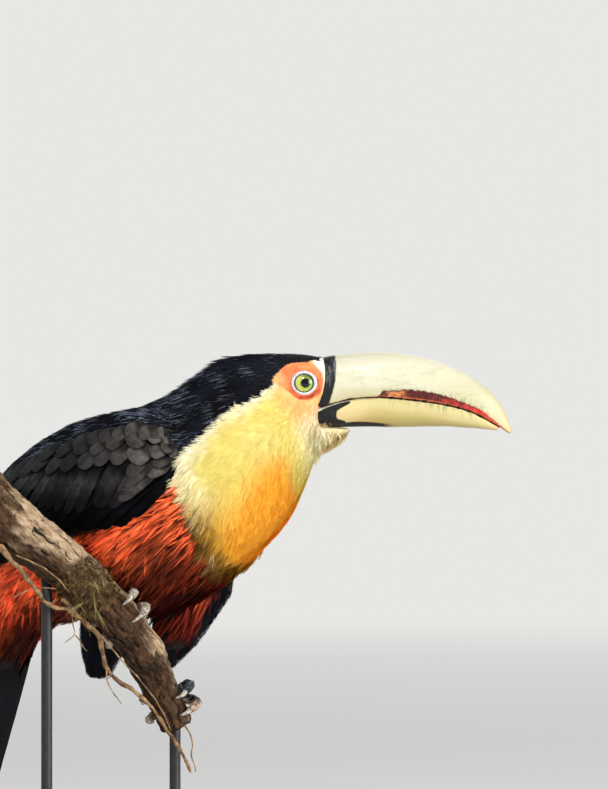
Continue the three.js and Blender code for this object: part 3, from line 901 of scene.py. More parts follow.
def sheen_at(index):
    """How strongly the black plumage's painted sheen shows at skin points: in soft patches, most on the parts that face
    up.
    """
    co, up = skin.co[index], skin.normal[index][:, 2]
    patch = ripple(co, 0.016, 95) + 0.6 * ripple(co, 0.006, 96)
    back = smoothstep(2.9, 4.0, skin.place[index])
    return np.clip(0.66 + 0.16 * patch + 0.14 * smoothstep(-0.1, 0.8, up) + 0.2 * back, 0.45, 1.18)


def build_body_coat():
    place, angle, part, kind = skin.place, skin.angle, skin.part, skin.kind
    co, normal, flow = skin.co, skin.normal, skin.flow
    turn, body, thigh, tail = np.abs(angle), part == BODY_PART, part == THIGH_PART, part == TAIL_PART
    base, _ = marking(co, place, angle, part, normal)
    to_red = np.interp(turn, *zip(*BIB_EDGE)) - place
    to_black = turn - np.interp(place, *zip(*BLACK_EDGE))
    wing_tree = tree_of(co[part == WING_PART])
    from_wing = np.array([wing_tree.find(point)[2] for point in co.tolist()])
    under_wing = smoothstep(0.001, 0.009, from_wing)
    open_face = np.where(place < 3, smoothstep(1.0, 2.3, eye_distance(co)), 1.0)
    soft = plume_finish("soft_yellow_feathers", 0.8, 0.9, 9.0, 0.1, 0.05, Specular_IOR_Level=0.12), "plumage_yellow"
    dark = plume_finish("black_feathers", 0.65, 0.5, 16.0, 0.25, 0.4, SHEEN_HIGHLIGHT, Specular_IOR_Level=0.1), "plumage_black"
    loose = plume_finish("red_feathers", 0.65, 0.13, 9.0, 0.2, 0.5, Specular_IOR_Level=0.12), "plumage_red"
    silk = [barb_fan(9, 0.8, 3, 0.06, seed) for seed in range(6)]
    fuzz = [barb_fan(6, 0.8, 2, 0.1, 10 + seed) for seed in range(4)]
    hair = [barb_fan(7, 0.62, 3, 0.062, 20 + seed) for seed in range(5)]
    locks = [barb_fan(7, 0.75, 4, 0.085, 40 + seed, curl=-0.75) for seed in range(8)]
    vanes = [vane(5, 4, 0.5, 60 + seed, notch=0.5, slant=0.12) for seed in range(4)]

    def rising(low, high, from_place=0, to_place=1, face=0.3):
        """A measure that grows along the body and shrinks to a share of itself next to the bare skin."""
        grown = low + (high - low) * smoothstep(from_place, to_place, place)
        return grown * (face + (1 - face) * open_face)

    def cover(name, mask, gap, patterns, sizes, coat, seed, stray, vary, shy=(), shy_kinds=(BARE,)):
        """Feathers all over a region. Sizes are their length, width, rise off the skin and thickness, in millimetres.

        Feathers that would run on to a shy part of the bird or a shy kind of plumage are left out.
        """
        length, width, rise, thick = (size if isinstance(size, np.ndarray) else rising(*size) for size in sizes)
        random = np.random.default_rng(seed)
        index = scatter(mask, gap * MM, seed)
        jitter = random.normal(0, 0.25 * gap * MM, (len(index), 3))
        heading = flow[index] + random.normal(0, stray, (len(index), 3))
        size = length[index] * random.uniform(0.8, 1.2, len(index)) * MM
        if coat is soft:
            size = size * (0.45 + 0.55 * smoothstep(0, 11, to_black[index]))
        points, normals, touched = paths_on_skin(index, jitter, heading, size)
        clear = ~np.isin(part[touched[:, 1:]], shy).any(1) & ~np.isin(kind[touched[:, 1:]], shy_kinds).any(1)
        clear &= dot(normals[:, 0], normals[:, -1]) > 0.45
        index, jitter, points, normals = (values[clear] for values in (index, jitter, points, normals))
        count = len(index)
        tint, own = marking(co[index] + jitter * 2, place[index], angle[index], part[index], normal[index])
        tint[np.isin(own, shy_kinds)] = base[index][np.isin(own, shy_kinds)]
        tint = tint * (1 + random.uniform(-vary, vary, (count, 1)))
        # Painted shade: the apron and the vent are painted at half brightness.
        if name in ("belly_apron", "vent"):
            tint = tint * 0.5
        if name.startswith("belly"):  # its locks hang in clumps with dark gaps between them
            # The darker clumps are painted shade in the gaps between locks, and the belly lower down is painted
            # brighter, as sunlit.
            clump = ripple(co[index], 0.0055, 91) + 0.6 * ripple(co[index], 0.012, 92)
            clump = np.clip(clump, -1.5, 0.7) * np.where(thigh[index], 0.3, 1.0)
            sunlit = 1.12 + 0.16 * smoothstep(6.1, 6.7, place[index])
            tint = tint * (sunlit + 0.5 * clump)[:, None]
        plumage(
            name, patterns, points, normals, width[index] * random.uniform(0.8, 1.2, count) * MM / 2,
            rise[index] * random.uniform(0.5, 1.4, count) * MM, thick[index] * MM, tint,
            spots(place[index], angle[index]), *coat,
            sheen_at(index) * np.where(thigh[index], 0.5, 1) if coat is dark else 1.0,
        )

    # A small crest lifts off the nape.
    crest = np.exp(-(((place - 3.2) / 0.4) ** 2)) + 0.55 * np.exp(-(((place - 4.1) / 0.5) ** 2))
    nape = rising(0.45, 1.5, 0.3, 4) + 3.2 * (crest * smoothstep(38, 16, turn) * body)
    wings, not_red = (WING_PART,), (JET, BARE)
    black, bib, red = body & (kind == JET), body & (kind == YELLOW), kind == RUDDY
    cover("cap_and_nape", black & (place < 5.2), 1.4, hair,
          ((3.4, 12.5, 0.3, 4.0, 0.45), (1.6, 3.6, 0.3, 4), nape, (0.4, 0.6, 0, 3)),
          dark, 1, 0.1, 0.15, (), (YELLOW, BARE))
    cover("mantle", black & (place >= 5.0), 2.3, hair,
          ((17, 20, 5, 6), (4.5, 5, 5, 6), (1.8, 1.9, 5, 6), (0.7, 0.8, 5, 6)), dark, 2, 0.08, 0.15)
    cover("face", bib & (place < 1.5), 0.95, fuzz,
          ((2.4, 4.2, 0, 1.5, 0.5), (1.4, 2.2, 0, 1.5), (0.25, 0.7, 0, 1.5), (0.2, 0.4, 0, 1.5)), soft, 8, 0.1, 0.03)
    cover("bib", bib & (place >= 1.4) & (from_wing > 0.002), 1.35, silk,
          ((4.2, 12.0, 1.4, 3.8, 0.4), (2.2, 4.8, 1.4, 3.8), (0.6, 1.7, 1.4, 3.8), (0.4, 0.8, 1.4, 3)),
          soft, 3, 0.1, 0.04, wings)
    cover("bib_fringe", bib & (place > 3.2) & (to_red < 0.34) & (from_wing > 0.003), 2.0, silk,
          ((12, 13, 3, 5), (3.8, 4.4, 3, 5), rising(2.4, 3.4, 3, 5) * under_wing, (1.2, 1.6, 3, 5)),
          soft, 9, 0.3, 0.06, wings)
    cover("chin", bib & (place < 1.1) & (turn > 105) & (co[:, 2] < CHIN_BELOW_Z), 0.85, hair,
          ((7.5, 8.5), (2, 2.2), (2.6, 2.2), (0.8, 0.8)), soft, 11, 0.35, 0.12)
    cover("belly", red & ~tail & (from_wing > 0.002), 2.1, locks,
          ((11, 20, 5.0, 6.4), (2.6, 3.8, 5, 6.4), rising(1.7, 3.4, 5, 6.4) * (0.15 + 0.85 * under_wing),
           (0.8, 1.3, 5, 6.4)), loose, 4, 0.24, 0.4, wings, not_red)
    cover("belly_apron", body & red & (turn > 138) & (place < 6.5), 3.4, locks,
          ((22, 30, 5.0, 6.0), (3.2, 4.2, 5, 6), (2.6, 4.0, 5, 6), (1.0, 1.4, 5, 6)),
          loose, 10, 0.12, 0.4, wings, not_red)
    cover("thighs", thigh & (kind == JET), 1.7, hair,
          ((8, 8), (3.4, 3.4), (1.5, 1.5), (0.5, 0.5)), dark, 5, 0.12, 0.15)
    cover("vent", tail & red & (place < 10.55), 2.6, locks,
          ((22, 22), (6.5, 6.5), (2.4, 2.4), (1.2, 1.2)), loose, 6, 0.12, 0.3)
    cover("tail_roots", tail & (kind == JET) & (place < 10.9), 2.8, vanes,
          ((22, 22), (11, 11), (1.2, 1.2), (0.8, 0.8)), dark, 7, 0.06, 0.06)
    return dark[0]


black_plumes = build_body_coat()


# Feathers of a folded wing. Each: wing place and degrees of its tip, degrees gained per place, length, width.
WING_ROWS = [
    # name, height over the wing, tone from black to grey, feathers
    ("primaries", 0.0, 0.0, [
        (4.7, 95, -6, 118, 13), (5.1, 90, -6, 118, 13), (5.5, 83, -6, 118, 13), (5.8, 77, -6, 118, 13),
        (6.2, 70, -6, 118, 13), (6.5, 62, -6, 118, 13), (6.8, 52, -6, 118, 13), (7.0, 42, -6, 118, 13),
    ]),
    ("secondaries", 0.25, 0.0, [
        (1.62, 108, 8, 26, 10), (1.9, 114, 10, 32, 11), (2.2, 117.5, 12, 38, 12), (2.51, 119, 12, 42, 12),
        (2.8, 116.5, 10, 46, 12), (3.1, 112.5, 8, 50, 13), (3.4, 106, 7, 54, 13), (3.7, 102, 6, 56, 13),
        (4.0, 99, 5, 58, 13), (4.3, 95, 5, 60, 13), (4.6, 90, 4, 60, 14), (4.9, 84, 4, 60, 14), (5.2, 76, 4, 60, 14),
        (5.5, 67, 3, 60, 14), (5.7, 56, 3, 60, 14), (5.8, 44, 3, 60, 14), (5.85, 32, 2, 60, 14), (5.85, 22, 2, 60, 14),
    ]),
    ("greater_coverts", 0.48, 0.5, [
        (4.7, 26, 2, 32, 11), (4.65, 40, 3, 32, 11), (4.5, 52, 5, 32, 11), (4.3, 62, 7, 31, 10.5), (4.1, 71, 9, 31, 10),
        (3.9, 79, 12, 30, 9.5), (3.7, 86, 16, 30, 9), (3.53, 91, 20, 30, 9), (3.41, 95.5, 22, 31, 8.5),
        (3.27, 99, 24, 32, 8.5), (3.1, 103, 26, 34, 9), (2.9, 105.5, 28, 35, 10), (2.54, 108.5, 26, 36, 14),
        (2.33, 110.5, 19, 34, 11),
    ]),
    ("wrist_coverts", 0.8, 0.42, [
        (2.12, 109, 12, 30, 9.5), (1.93, 103.5, 15, 23, 9.5), (1.8, 99, 19, 18, 9), (1.5, 101, 11, 14, 8),
        (1.34, 97, 12, 12, 8),
    ]),
    ("median_coverts", 1.2, 0.5, [
        (4.0, 60, 10, 17, 11), (3.7, 66, 12, 17, 11), (3.45, 71, 14, 17, 11), (3.2, 76.5, 16, 17, 11.5),
        (2.91, 81, 18, 16, 12), (2.56, 85, 21, 16, 13), (2.27, 88.5, 24, 16, 12.5), (1.96, 90.5, 24, 14, 12),
        (1.64, 92.5, 22, 14, 14.5), (1.3, 91.5, 13, 10, 9),
    ]),
    ("lesser_coverts", 1.8, 0.46, [
        (3.3, 65, 9, 14, 11), (2.95, 70.5, 12, 14, 11), (2.6, 74, 15, 13, 11), (2.3, 78, 17, 12, 10),
        (1.98, 78.5, 18, 12, 11.5), (1.6, 81, 19, 13, 14.5), (1.24, 84, 15, 10, 10), (1.08, 88, 10, 7, 8),
        (2.62, 69.5, 12, 13, 11), (2.35, 71, 12, 13, 11), (2.1, 72, 13, 12, 11), (1.85, 73.5, 13, 12, 11),
        (1.6, 75.5, 13, 12, 11), (1.38, 78, 12, 11, 10.5), (1.18, 81, 12, 9, 9),
        (1.05, 79, 8, 7, 8), (1.02, 84, 7, 6.5, 7), (1.04, 93, 6, 7, 7),
    ]),
]
PLACE_LENGTH = 32.0  # millimetres between wing places


def wing_height(place, turn):
    """How high the wing's surface stands over its guide, in metres."""
    starts, *rows = np.array(WING).T
    upper, lower, lift = (np.interp(place, starts, row) for row in rows)
    across = np.clip((turn - upper) / (lower - upper), 0, 1)
    return lift * (np.sqrt(1 - np.abs(2 * across - 1) ** 3) + 0.16) * MM


def build_wing(side, name):
    random = np.random.default_rng(50 + side)
    flight = [vane(12, 8, 0.8, 80 + seed, notch=0.06, slant=0.03) for seed in range(4)]
    coverts = [vane(14, 10, 0.62, 90 + seed, notch=0.05) for seed in range(4)]
    for label, over, grey, feathers in WING_ROWS:
        tip_place, tip_turn, gain, length, width = np.array(feathers, float).T
        count = len(feathers)
        loose = 0.7 if over > 1 else 0.25
        tip_turn = tip_turn + random.normal(0, loose, count)
        size = length * random.uniform(1 - 0.1 * loose, 1 + 0.12 * loose, count)
        width = width * random.uniform(1 - 0.1 * loose, 1 + 0.14 * loose, count)
        reach = size / np.hypot(PLACE_LENGTH, gain * 0.85)
        root_place = np.maximum(tip_place - reach, 0.9)
        root_turn = tip_turn - gain * (tip_place - root_place)
        place = root_place[:, None] + (tip_place - root_place)[:, None] * STATIONS
        turn = root_turn[:, None] + (tip_turn - root_turn)[:, None] * STATIONS
        turn = np.minimum(turn, np.interp(place, *np.array(WING)[:, [0, 2]].T) + 2)
        place, turn = place.ravel(), turn.ravel()
        height = wing_height(place, turn) + (over - 0.5) * MM
        points = wing_guide.point(place, side * turn, height).reshape(count, -1, 3)
        normals = wing_guide.outwards(place, side * turn).reshape(count, -1, 3)
        # Painted light: the coverts are painted paler grey and warmer towards the wrist, where the light falls, and
        # cooler further back.
        least = 0.5 if label == "greater_coverts" else 0.28
        lit_near_wrist = least + (1 - least) * smoothstep(2.9, 1.5, tip_place)
        warm = smoothstep(3.2, 1.8, tip_place)[:, None]
        tint = layered(BLACK, count, (WING_GREY, grey * lit_near_wrist))
        tint = tint * random.uniform(0.5, 1.3, (count, 1)) * (warm * [1.06, 1.0, 0.95] + (1 - warm) * [0.9, 0.97, 1.1])
        pattern, rise = (flight, 0.5) if label in ("primaries", "secondaries") else (coverts, 1.3)
        plumage(
            f"{name}_{label}", pattern, points, normals, width * MM / 2, rise * MM, 2.2 * MM * width / 12, tint,
            spots(tip_place + 4, side * tip_turn), COVERT if over > 0.5 else FLIGHT, "plumage_black",
        )


def build_scapulars():
    """Sleek hair-like feathers that run from the back over the upper part of each wing."""
    sleek = [barb_fan(9, 0.5, 4, 0.06, 140 + seed, curl=-0.2) for seed in range(5)]
    wing_place, wing_turn = wing_guide.locate(skin.co)
    first, last = 0.85, 6.0  # wing places
    lower = np.interp(wing_place, [first, 1.0, 1.65, 2.0, 2.6, 3.3, 4.0, 7.0], [79, 77, 70, 69, 68, 60, 53, 36])
    mask = (skin.part == WING_PART) & (np.abs(wing_turn) < lower) & (wing_place > first) & (wing_place < last)
    index = scatter(mask, 2.0 * MM, 77)
    random = np.random.default_rng(78)
    count = len(index)
    heading = unit(skin.flow[index] + random.normal(0, 0.07, (count, 3)))
    size = (10 + 8 * smoothstep(0.9, 3.0, wing_place[index])) * random.uniform(0.85, 1.15, count) * MM
    points, normals, _ = paths_on_skin(index, random.normal(0, 0.5 * MM, (count, 3)), heading, size)
    tint = layered(BLACK, count, (BLACK_SHEEN, random.uniform(-0.2, 0.6, count).clip(0, 1)))
    plumage(
        "scapulars", sleek, points, normals, random.uniform(2.2, 3.2, count) * MM, random.uniform(1.6, 2.8, count) * MM,
        0.8 * MM, tint, spots(skin.place[index], skin.angle[index]), black_plumes, "plumage_black", sheen_at(index),
    )


def vane_finish(name, rough, tip_shade, shine):
    """A firm feather: painted shade under the row above, a painted lit band below it, painted shade to the tip, a
    painted shadow rim.
    """
    finish = Finish(name, Roughness=rough, Specular_IOR_Level=shine)
    tint = finish.attribute("tint", "Color")
    across, along, _ = finish.split(finish.attribute("barb"))
    wide = across.math("ABSOLUTE")
    lines = finish.noise(finish.join(across * 3.0, (along * 34.0 - wide * 9.0), 0.0), 1.0, 3.0, 0.6)
    cloud = finish.noise(finish.place(), 210.0, 3.0, 0.6).between(0.3, 0.7)
    # Painted light and shade: shade where the row above covers the feather, a lit band below that, shade towards the
    # tip, and a dark painted shadow line along the sides and tip.
    painted_light = along.between(0.3, 0.54) * (along.between(0.84, 0.46) * tip_shade + (1.0 - tip_shade))
    edge = (wide.between(0.86, 0.97) * along.between(0.3, 0.5)).math("MAXIMUM", along.between(0.955, 0.99))
    rim = edge * -0.7 + wide.between(0.84, 0.6) * 0.12
    shaft = wide.between(0.06, 0.02) * -0.25
    tone = ((lines * 0.35 + cloud * 0.8 + 0.32) * (painted_light * 1.1 + 0.12) + (rim + shaft)).math("MAXIMUM", 0.08)
    warm = finish.multiply(tint, finish.join(1.12, 1.0, 0.86))
    finish.set("Base Color", finish.multiply(finish.mix(tint, warm, cloud), tone))
    finish.bump(lines, 0.0002, 0.35)
    return finish


FLIGHT = vane_finish("flight_feathers", 0.55, 0.95, 0.05)
COVERT = vane_finish("covert_feathers", 0.55, 0.3, 0.2)
build_scapulars()
build_wing(1, "wing_right")
build_wing(-1, "wing_left")


def build_tail():
    """Ten tail feathers above and ten below, fanned a little."""
    plain = vane_finish("tail_feathers", 0.6, 0.1, 0.1)
    quill = [vane(24, 8, 0.945, 120 + seed, notch=0.05, slant=0.005, crowd=1.8) for seed in range(3)]
    root, tip = 9.9, 14.0  # body places; the outer feathers are a little shorter
    points, normals, places, turns = [], [], [], []
    for sheet in (1, -1):
        for across in (np.arange(10) - 4.5) / 4.5:
            end = tip - 0.34 * across**2
            s = body_guide.at(root + (end - root) * STATIONS)
            half, up, down = s["size"].T
            layer = (0.5 - 0.42 * abs(across)) if sheet > 0 else (-0.5 + 0.42 * (1 - abs(across)))
            offset = -s["left"] * (across * (half - 7.5 * MM))[:, None]
            lift = sheet * (up if sheet > 0 else down) * math.sqrt(1 - 0.6 * across**2) * 0.72 + layer * MM
            points.append(s["centre"] + offset + s["up"] * lift[:, None])
            normals.append(s["up"] * sheet)
            places.append(end - 1.5)
            turns.append(40 * across + (0 if sheet > 0 else 180 - 80 * across))
    count = len(points)
    tint = np.array([BLACK] * count) * np.random.default_rng(9).uniform(1.2, 2.4, (count, 1))
    plumage(
        "tail_feathers", quill, np.array(points), np.array(normals), 8.0 * MM, 0.3 * MM, 1.4 * MM, tint,
        spots(places, turns), plain, "plumage_black",
    )


build_tail()


# ---------------------------------------------------------------- bill
# The cutting edge between the halves of the bill, from its root to its tip: x and height, millimetres.
CUTTING_EDGE = [
    (101.4, 258.2), (115, 262.2), (128.4, 263.8), (144.5, 262.9), (165.9, 260.1), (181.9, 256.0), (195.3, 248.9),
    (202.0, 244.4),
]


def curve_of(x, rows, degree):
    """A smooth height at x through rows of (x, height), as shader maths."""
    middle, half = 152.9, 51.5  # of the stretch of x that the rows cover
    rows = np.array(rows)
    terms = np.polyfit((rows[:, 0] - middle) / half, rows[:, 1], degree)
    t = (x - middle) / half
    total = t * float(terms[0]) + float(terms[1])
    for term in terms[2:]:
        total = total * t + float(term)
    return total


def bill_finish(upper):
    """Ivory horn, with a black band at its root and, on the upper half, a red streak along the cutting edge; painted
    light, shade, sheen and glints.
    """
    name = "bill_upper_horn" if upper else "bill_lower_horn"
    finish = Finish(name, Specular_IOR_Level=0.3, Coat_Weight=0.08, Coat_Roughness=0.25)
    place = finish.place(IN_MM)
    x, y, z = finish.split(place)
    edge = curve_of(x, CUTTING_EDGE, 4)
    grain = finish.noise(place, 0.35, 5.0, 0.6)
    broad = finish.noise(place, 0.07, 3.0, 0.5)
    speck = finish.noise(place, 1.4, 3.0, 0.6)

    def drawn(along, across, up, detail=4.0, rough=0.6):
        """Noise that is drawn out in the directions with a small scale."""
        return finish.noise(finish.join(x * along, y * across, z * up), 1.0, detail, rough)

    if upper:
        above = z - edge
        flow = drawn(0.05, 0.25, 0.3)
        mottle = drawn(0.09, 0.3, 0.4, 5.0).between(0.5, 0.68)
        column = drawn(0.5, 0.0, 0.09, 3.0).between(0.46, 0.72) * (above + grain * 3.0).between(10.5, 5.0)
        # Painted light: the ivory grows lighter towards the top, where the light falls, with a pale painted highlight
        # high on its rear half.
        ivory = finish.layers(
            shade(204, 196, 150),
            (shade(232, 228, 200), (above * 0.1 + flow * 0.9).between(0.25, 1.35)),
            (shade(228, 230, 192), broad.between(0.48, 0.72) * 0.5),
            (shade(244, 242, 226), flow.between(0.45, 0.7) * z.between(266.0, 280.0) * x.between(160.0, 130.0) * 0.8),
            (shade(200, 194, 142), x.between(145.0, 192.0) * z.between(283.0, 266.0) * 0.55),
            (shade(196, 196, 156), mottle * z.between(284.0, 279.0) * 0.4),
            (shade(236, 196, 140), x.between(192.0, 205.0) * 0.7),
            (shade(118, 124, 92), column * (x.between(133.0, 146.0) * x.between(202.0, 184.0)) * 0.8),
        )
        narrowing = 1.5 * x.between(160.0, 184.0) + 2.9 * x.between(184.0, 200.5)
        wide = x.between(132.0, 135.0) * (3.6 + 1.8 * x.between(137.0, 150.0) - narrowing)
        ragged = above + (drawn(0.7, 0.2, 0.3, 4.0, 0.65) - 0.5) * 3.6
        streak = (wide - ragged).between(-0.3, 0.6)
        bright = (x * 0.03 + grain * 1.6 - above * 0.14).between(5.1, 6.4)
        inside = (wide - ragged).between(0.4, 1.2) * x.between(150.0, 143.0) * x.between(134.5, 138.5)
        # The pale pink flecks on the red streak are painted glints.
        rust = finish.layers(
            shade(84, 20, 20),
            (shade(196, 48, 38), bright),
            (shade(46, 16, 16), (grain + speck * 0.4).between(0.78, 0.6) * bright.between(1.0, 0.2) * 0.5),
            (shade(232, 160, 120), speck.between(0.62, 0.74) * 0.55),
            (shade(222, 142, 84), inside * (speck * 0.6 + grain * 0.6).between(0.5, 0.66) * 0.85),
        )
        lip = above.between(1.4, 0.2) * x.between(124.0, 134.0) * x.between(203.0, 196.0)
        band_front = 110.2 - (z - 279.0) * (z - 279.0) * 0.0108 + (grain - 0.5) * 1.2
        band_rear = 104.3 - (z - 276.0) * (z - 276.0) * 0.014
        band = (x - band_front).between(0.45, -0.45)
        sheen = drawn(0.8, 0.3, 0.13, 3.0).between(0.5, 0.72)
        rear_rim = (x - band_rear).between(-0.9, -0.5) * (z.between(266.0, 274.0) * 0.6 + 0.4)
        face = finish.layers(
            CHEEK, (finish.mix(ORBIT, CREAM, z.between(272.5, 277.5)), z.between(261.5, 266.5)),
            (shade(240, 230, 216), rear_rim),
        )
        colour = finish.layers(
            ivory, (rust, streak), (shade(216, 112, 66), lip * 0.7),
            (finish.mix(shade(11, 11, 13), shade(124, 126, 132), sheen * z.between(264.0, 279.0) * 0.7), band),
            (face, (x - band_rear).between(0.2, -0.2)),
        )
        colour = finish.multiply(colour, 0.8 + (streak * 0.2).math("MAXIMUM", band * 0.2))
        rough = 0.36 + streak * 0.1 + band * 0.2
        height = grain * 0.5 + speck * 0.12 - streak * 0.8
    else:
        below = edge - z
        smoke = drawn(0.5, 0.2, 0.1, 4.0, 0.65).between(0.45, 0.66) * (below + grain * 4.0).between(8.5, 2.5)
        smoke = smoke * x.between(132.0, 143.0) * x.between(192.0, 176.0)
        # Painted shade: the horn darkens to ochre towards its lower edge; the olive near that edge is partly the horn's
        # own green and partly painted shade.
        ivory = finish.layers(
            shade(206, 194, 138),
            (shade(190, 162, 96), (below * 0.09 + broad * 0.4).between(0.45, 1.4)),
            (shade(226, 202, 146), x.between(132.0, 116.0) * 0.6),
            (shade(236, 196, 140), x.between(184.0, 198.0) * 0.5),
            (shade(122, 126, 92), smoke * 0.7),
            (shade(176, 170, 104), (below * 0.12 + broad * 0.5).between(1.0, 1.6) * x.between(116.0, 150.0) * 0.6),
        )
        front = 110.6 + 7.0 * below.between(5.4, 2.0) + 5.0 * below.between(8.5, 12.5) + (grain - 0.5) * 2.0
        strip_depth = 1.9 - (x - 100.0) * 0.05
        block = (x - front).between(0.5, -0.5) * (below - strip_depth).between(-0.2, 0.2)
        keel = below - 12.2 - 1.7 * x.between(116.0, 140.0)
        black = block.math("MAXIMUM", keel.between(-0.3, 0.5) * x.between(143.0, 134.0))
        # Pale grey flecks scattered at random over the black.
        grey_flecks = speck.between(0.5, 0.75) * grain.between(0.5, 0.7) * 0.6
        # Painted sheen: a pale grey strip along the top edge of the black block at the gape.
        gape = (x - 118.5).between(0.8, -1.5) * (below - strip_depth).between(0.2, -0.2)
        colour = finish.layers(
            ivory, (finish.mix(shade(17, 16, 18), shade(96, 96, 100), grey_flecks), black),
            (finish.mix(shade(188, 186, 182), shade(226, 222, 210), grain.between(0.4, 0.6)), gape * 0.9),
        )
        rough = 0.38 + black * 0.2
        height = grain * 0.5 + speck * 0.12
    finish.set("Base Color", finish.multiply(colour, grain * 0.1 + 0.94))
    finish.set("Roughness", rough)
    finish.bump(height, 0.0003, 0.5)
    return finish


def build_bill():
    for node, upper in (("bill_upper", True), ("bill_lower", False)):
        bill = remeshed(f"{node}_horn", [node], 0.55, 10, 0.00002, bill_finish(upper))
        co, normal = arrays(bill.data)
        x, z = co[:, 0] / MM, co[:, 2] / MM
        edge = np.interp(x, *zip(*CUTTING_EDGE))
        away = z - edge if upper else edge - z
        wander = ripple(co * [1, 0.2, 0.2], 0.009, 31)
        tooth = np.maximum(np.sin(x * 1.05 + 1.2 * wander), 0) ** 2 * smoothstep(3.2, 0.2, away)
        dent = -0.32 * tooth * (smoothstep(128, 140, x) * smoothstep(200, 188, x))
        dent += 0.06 * ripple(co, 0.014, 32) + 0.02 * ripple(co, 0.004, 33)
        if upper:
            wide = smoothstep(131, 138, x) * (5 - 1.6 * smoothstep(160, 184, x) - 3.0 * smoothstep(184, 200.5, x))
            dent -= 0.35 * smoothstep(-0.3, 0.6, wide - away + 0.8 * wander)
        co = co + normal * (dent * MM)[:, None]
        behind = smoothstep(103.4, 101.7, x)
        co[:, 0] -= 4.5 * MM * behind
        co[:, 1] = MID_Y + (co[:, 1] - MID_Y) * (1 - 0.1 * behind)
        move_points(bill.data, co)
        dress(bill, "bill_horn", node)


def build_mouth():
    """A lining inside the bill, painted dark as shade, that shows as a dark line between the two halves of the bill."""
    dark = Finish("mouth_lining_in_shade", Specular_IOR_Level=0.2)
    tone = dark.noise(dark.place(IN_MM), 0.8, 4.0)
    dark.set("Base Color", dark.mix(shade(30, 20, 16), shade(70, 44, 30), tone.between(0.4, 0.7)))
    dark.set("Roughness", tone * 0.3 + 0.5)
    mouth = remeshed("mouth_lining_in_shade", ["bill_upper", "bill_lower"], 0.8, 2, 0.0004, dark)
    co, normal = arrays(mouth.data)
    move_points(mouth.data, co - normal * 0.0013)
    dress(mouth, "bill_horn")


build_bill()
build_mouth()


# ---------------------------------------------------------------- eyes
def eye_finish():
    finish = Finish("eye", Roughness=0.08, Specular_IOR_Level=0.35, Coat_Weight=0.2, Coat_Roughness=0.02)
    x, _, z = finish.split(finish.place(IN_MM, (-EYE["x"], 0.0, -EYE["z"])))
    radius = (x * x + z * z) ** 0.5
    right = x - 0.75
    from_pupil = (right * right + z * z) ** 0.5
    turn = z.math("ARCTAN2", right)
    rays = finish.noise(finish.join(turn.math("COSINE") * 6.0, turn.math("SINE") * 6.0, radius * 0.5), 1.0, 4.0, 0.65)
    # Painted shadow of the lid darkens the iris at its top and right; the pale rays are lighter towards the left as a
    # painted reflection.
    finish.set("Base Color", finish.layers(
        shade(136, 164, 56),
        (shade(214, 224, 118), (rays * 0.7 + radius * 0.06 - x * 0.05).between(0.3, 0.8)),
        (shade(78, 96, 52), (x * 0.4 + z).between(1.6, 4.6) * 0.85),
        (shade(70, 78, 24), from_pupil.between(3.1, 2.3) * 0.85),
        (shade(8, 10, 8), radius.between(4.3, 4.75)),
        (shade(2, 2, 3), from_pupil.between(2.4, 2.2)),
    ))
    return finish


def lid_finish():
    finish = Finish("eyelid", Roughness=0.5, Specular_IOR_Level=0.4)
    bead = finish.cells(finish.place(IN_MM), 1.5)
    # Painted shade: each bead darkens to a bluish grey towards its edges.
    finish.set("Base Color", finish.mix(shade(236, 238, 240), shade(176, 178, 196), bead.between(0.3, 0.75)))
    finish.bump(bead, 0.0002, 0.6)
    return finish


def build_eyes():
    wet, lid = eye_finish(), lid_finish()
    ball, ring, thick = (size * MM for size in (EYE["radius"], 5.95, 0.95))  # radius of the eye, and the lid's sizes
    for side, name in ((-1, "right"), (1, "left")):
        middle = Vector((EYE["x"], HEAD_Y + side * EYE["out"], EYE["z"])) * MM
        facing = Matrix.Translation(middle) @ Matrix.Rotation(math.radians(-90 * side), 4, "X")
        bm = bmesh.new()
        bmesh.ops.create_uvsphere(bm, u_segments=48, v_segments=36, radius=ball)
        for vert in bm.verts:
            vert.co *= 1 + 0.12 * max(vert.co.z / ball - 0.8, 0)  # the clear front bulges
        bmesh.ops.transform(bm, matrix=facing, verts=bm.verts)
        dress(from_bmesh(f"eyeball_{name}", bm, wet), "eye_wet", f"eye_{name}")

        bm = bmesh.new()
        bmesh.ops.create_circle(bm, segments=12, radius=thick)
        bmesh.ops.rotate(bm, cent=(0, 0, 0), matrix=Matrix.Rotation(math.radians(90), 3, "X"), verts=bm.verts)
        bmesh.ops.translate(bm, vec=(ring, 0, 0), verts=bm.verts)
        spin_round(bm, 112)
        for vert in bm.verts:
            around = math.atan2(vert.co.y, vert.co.x)
            radius = math.hypot(vert.co.x, vert.co.y)
            bead = 0.13 * abs(math.sin(13 * around)) - 0.05 + 0.05 * math.sin(3 * around + 1)
            grow = 1 + (radius - 5.6 * MM) / thick * bead * 0.18
            vert.co.x *= grow * 1.03
            vert.co.y *= grow * 0.97
            vert.co.z = vert.co.z * (1 + bead * 1.6) - max(radius - ring, 0) * 0.9
        bmesh.ops.transform(bm, matrix=facing @ Matrix.Translation((0, 0, 5.0 * MM)), verts=bm.verts)
        dress(from_bmesh(f"eyelid_{name}", bm, lid), "skin_scale")


build_eyes()


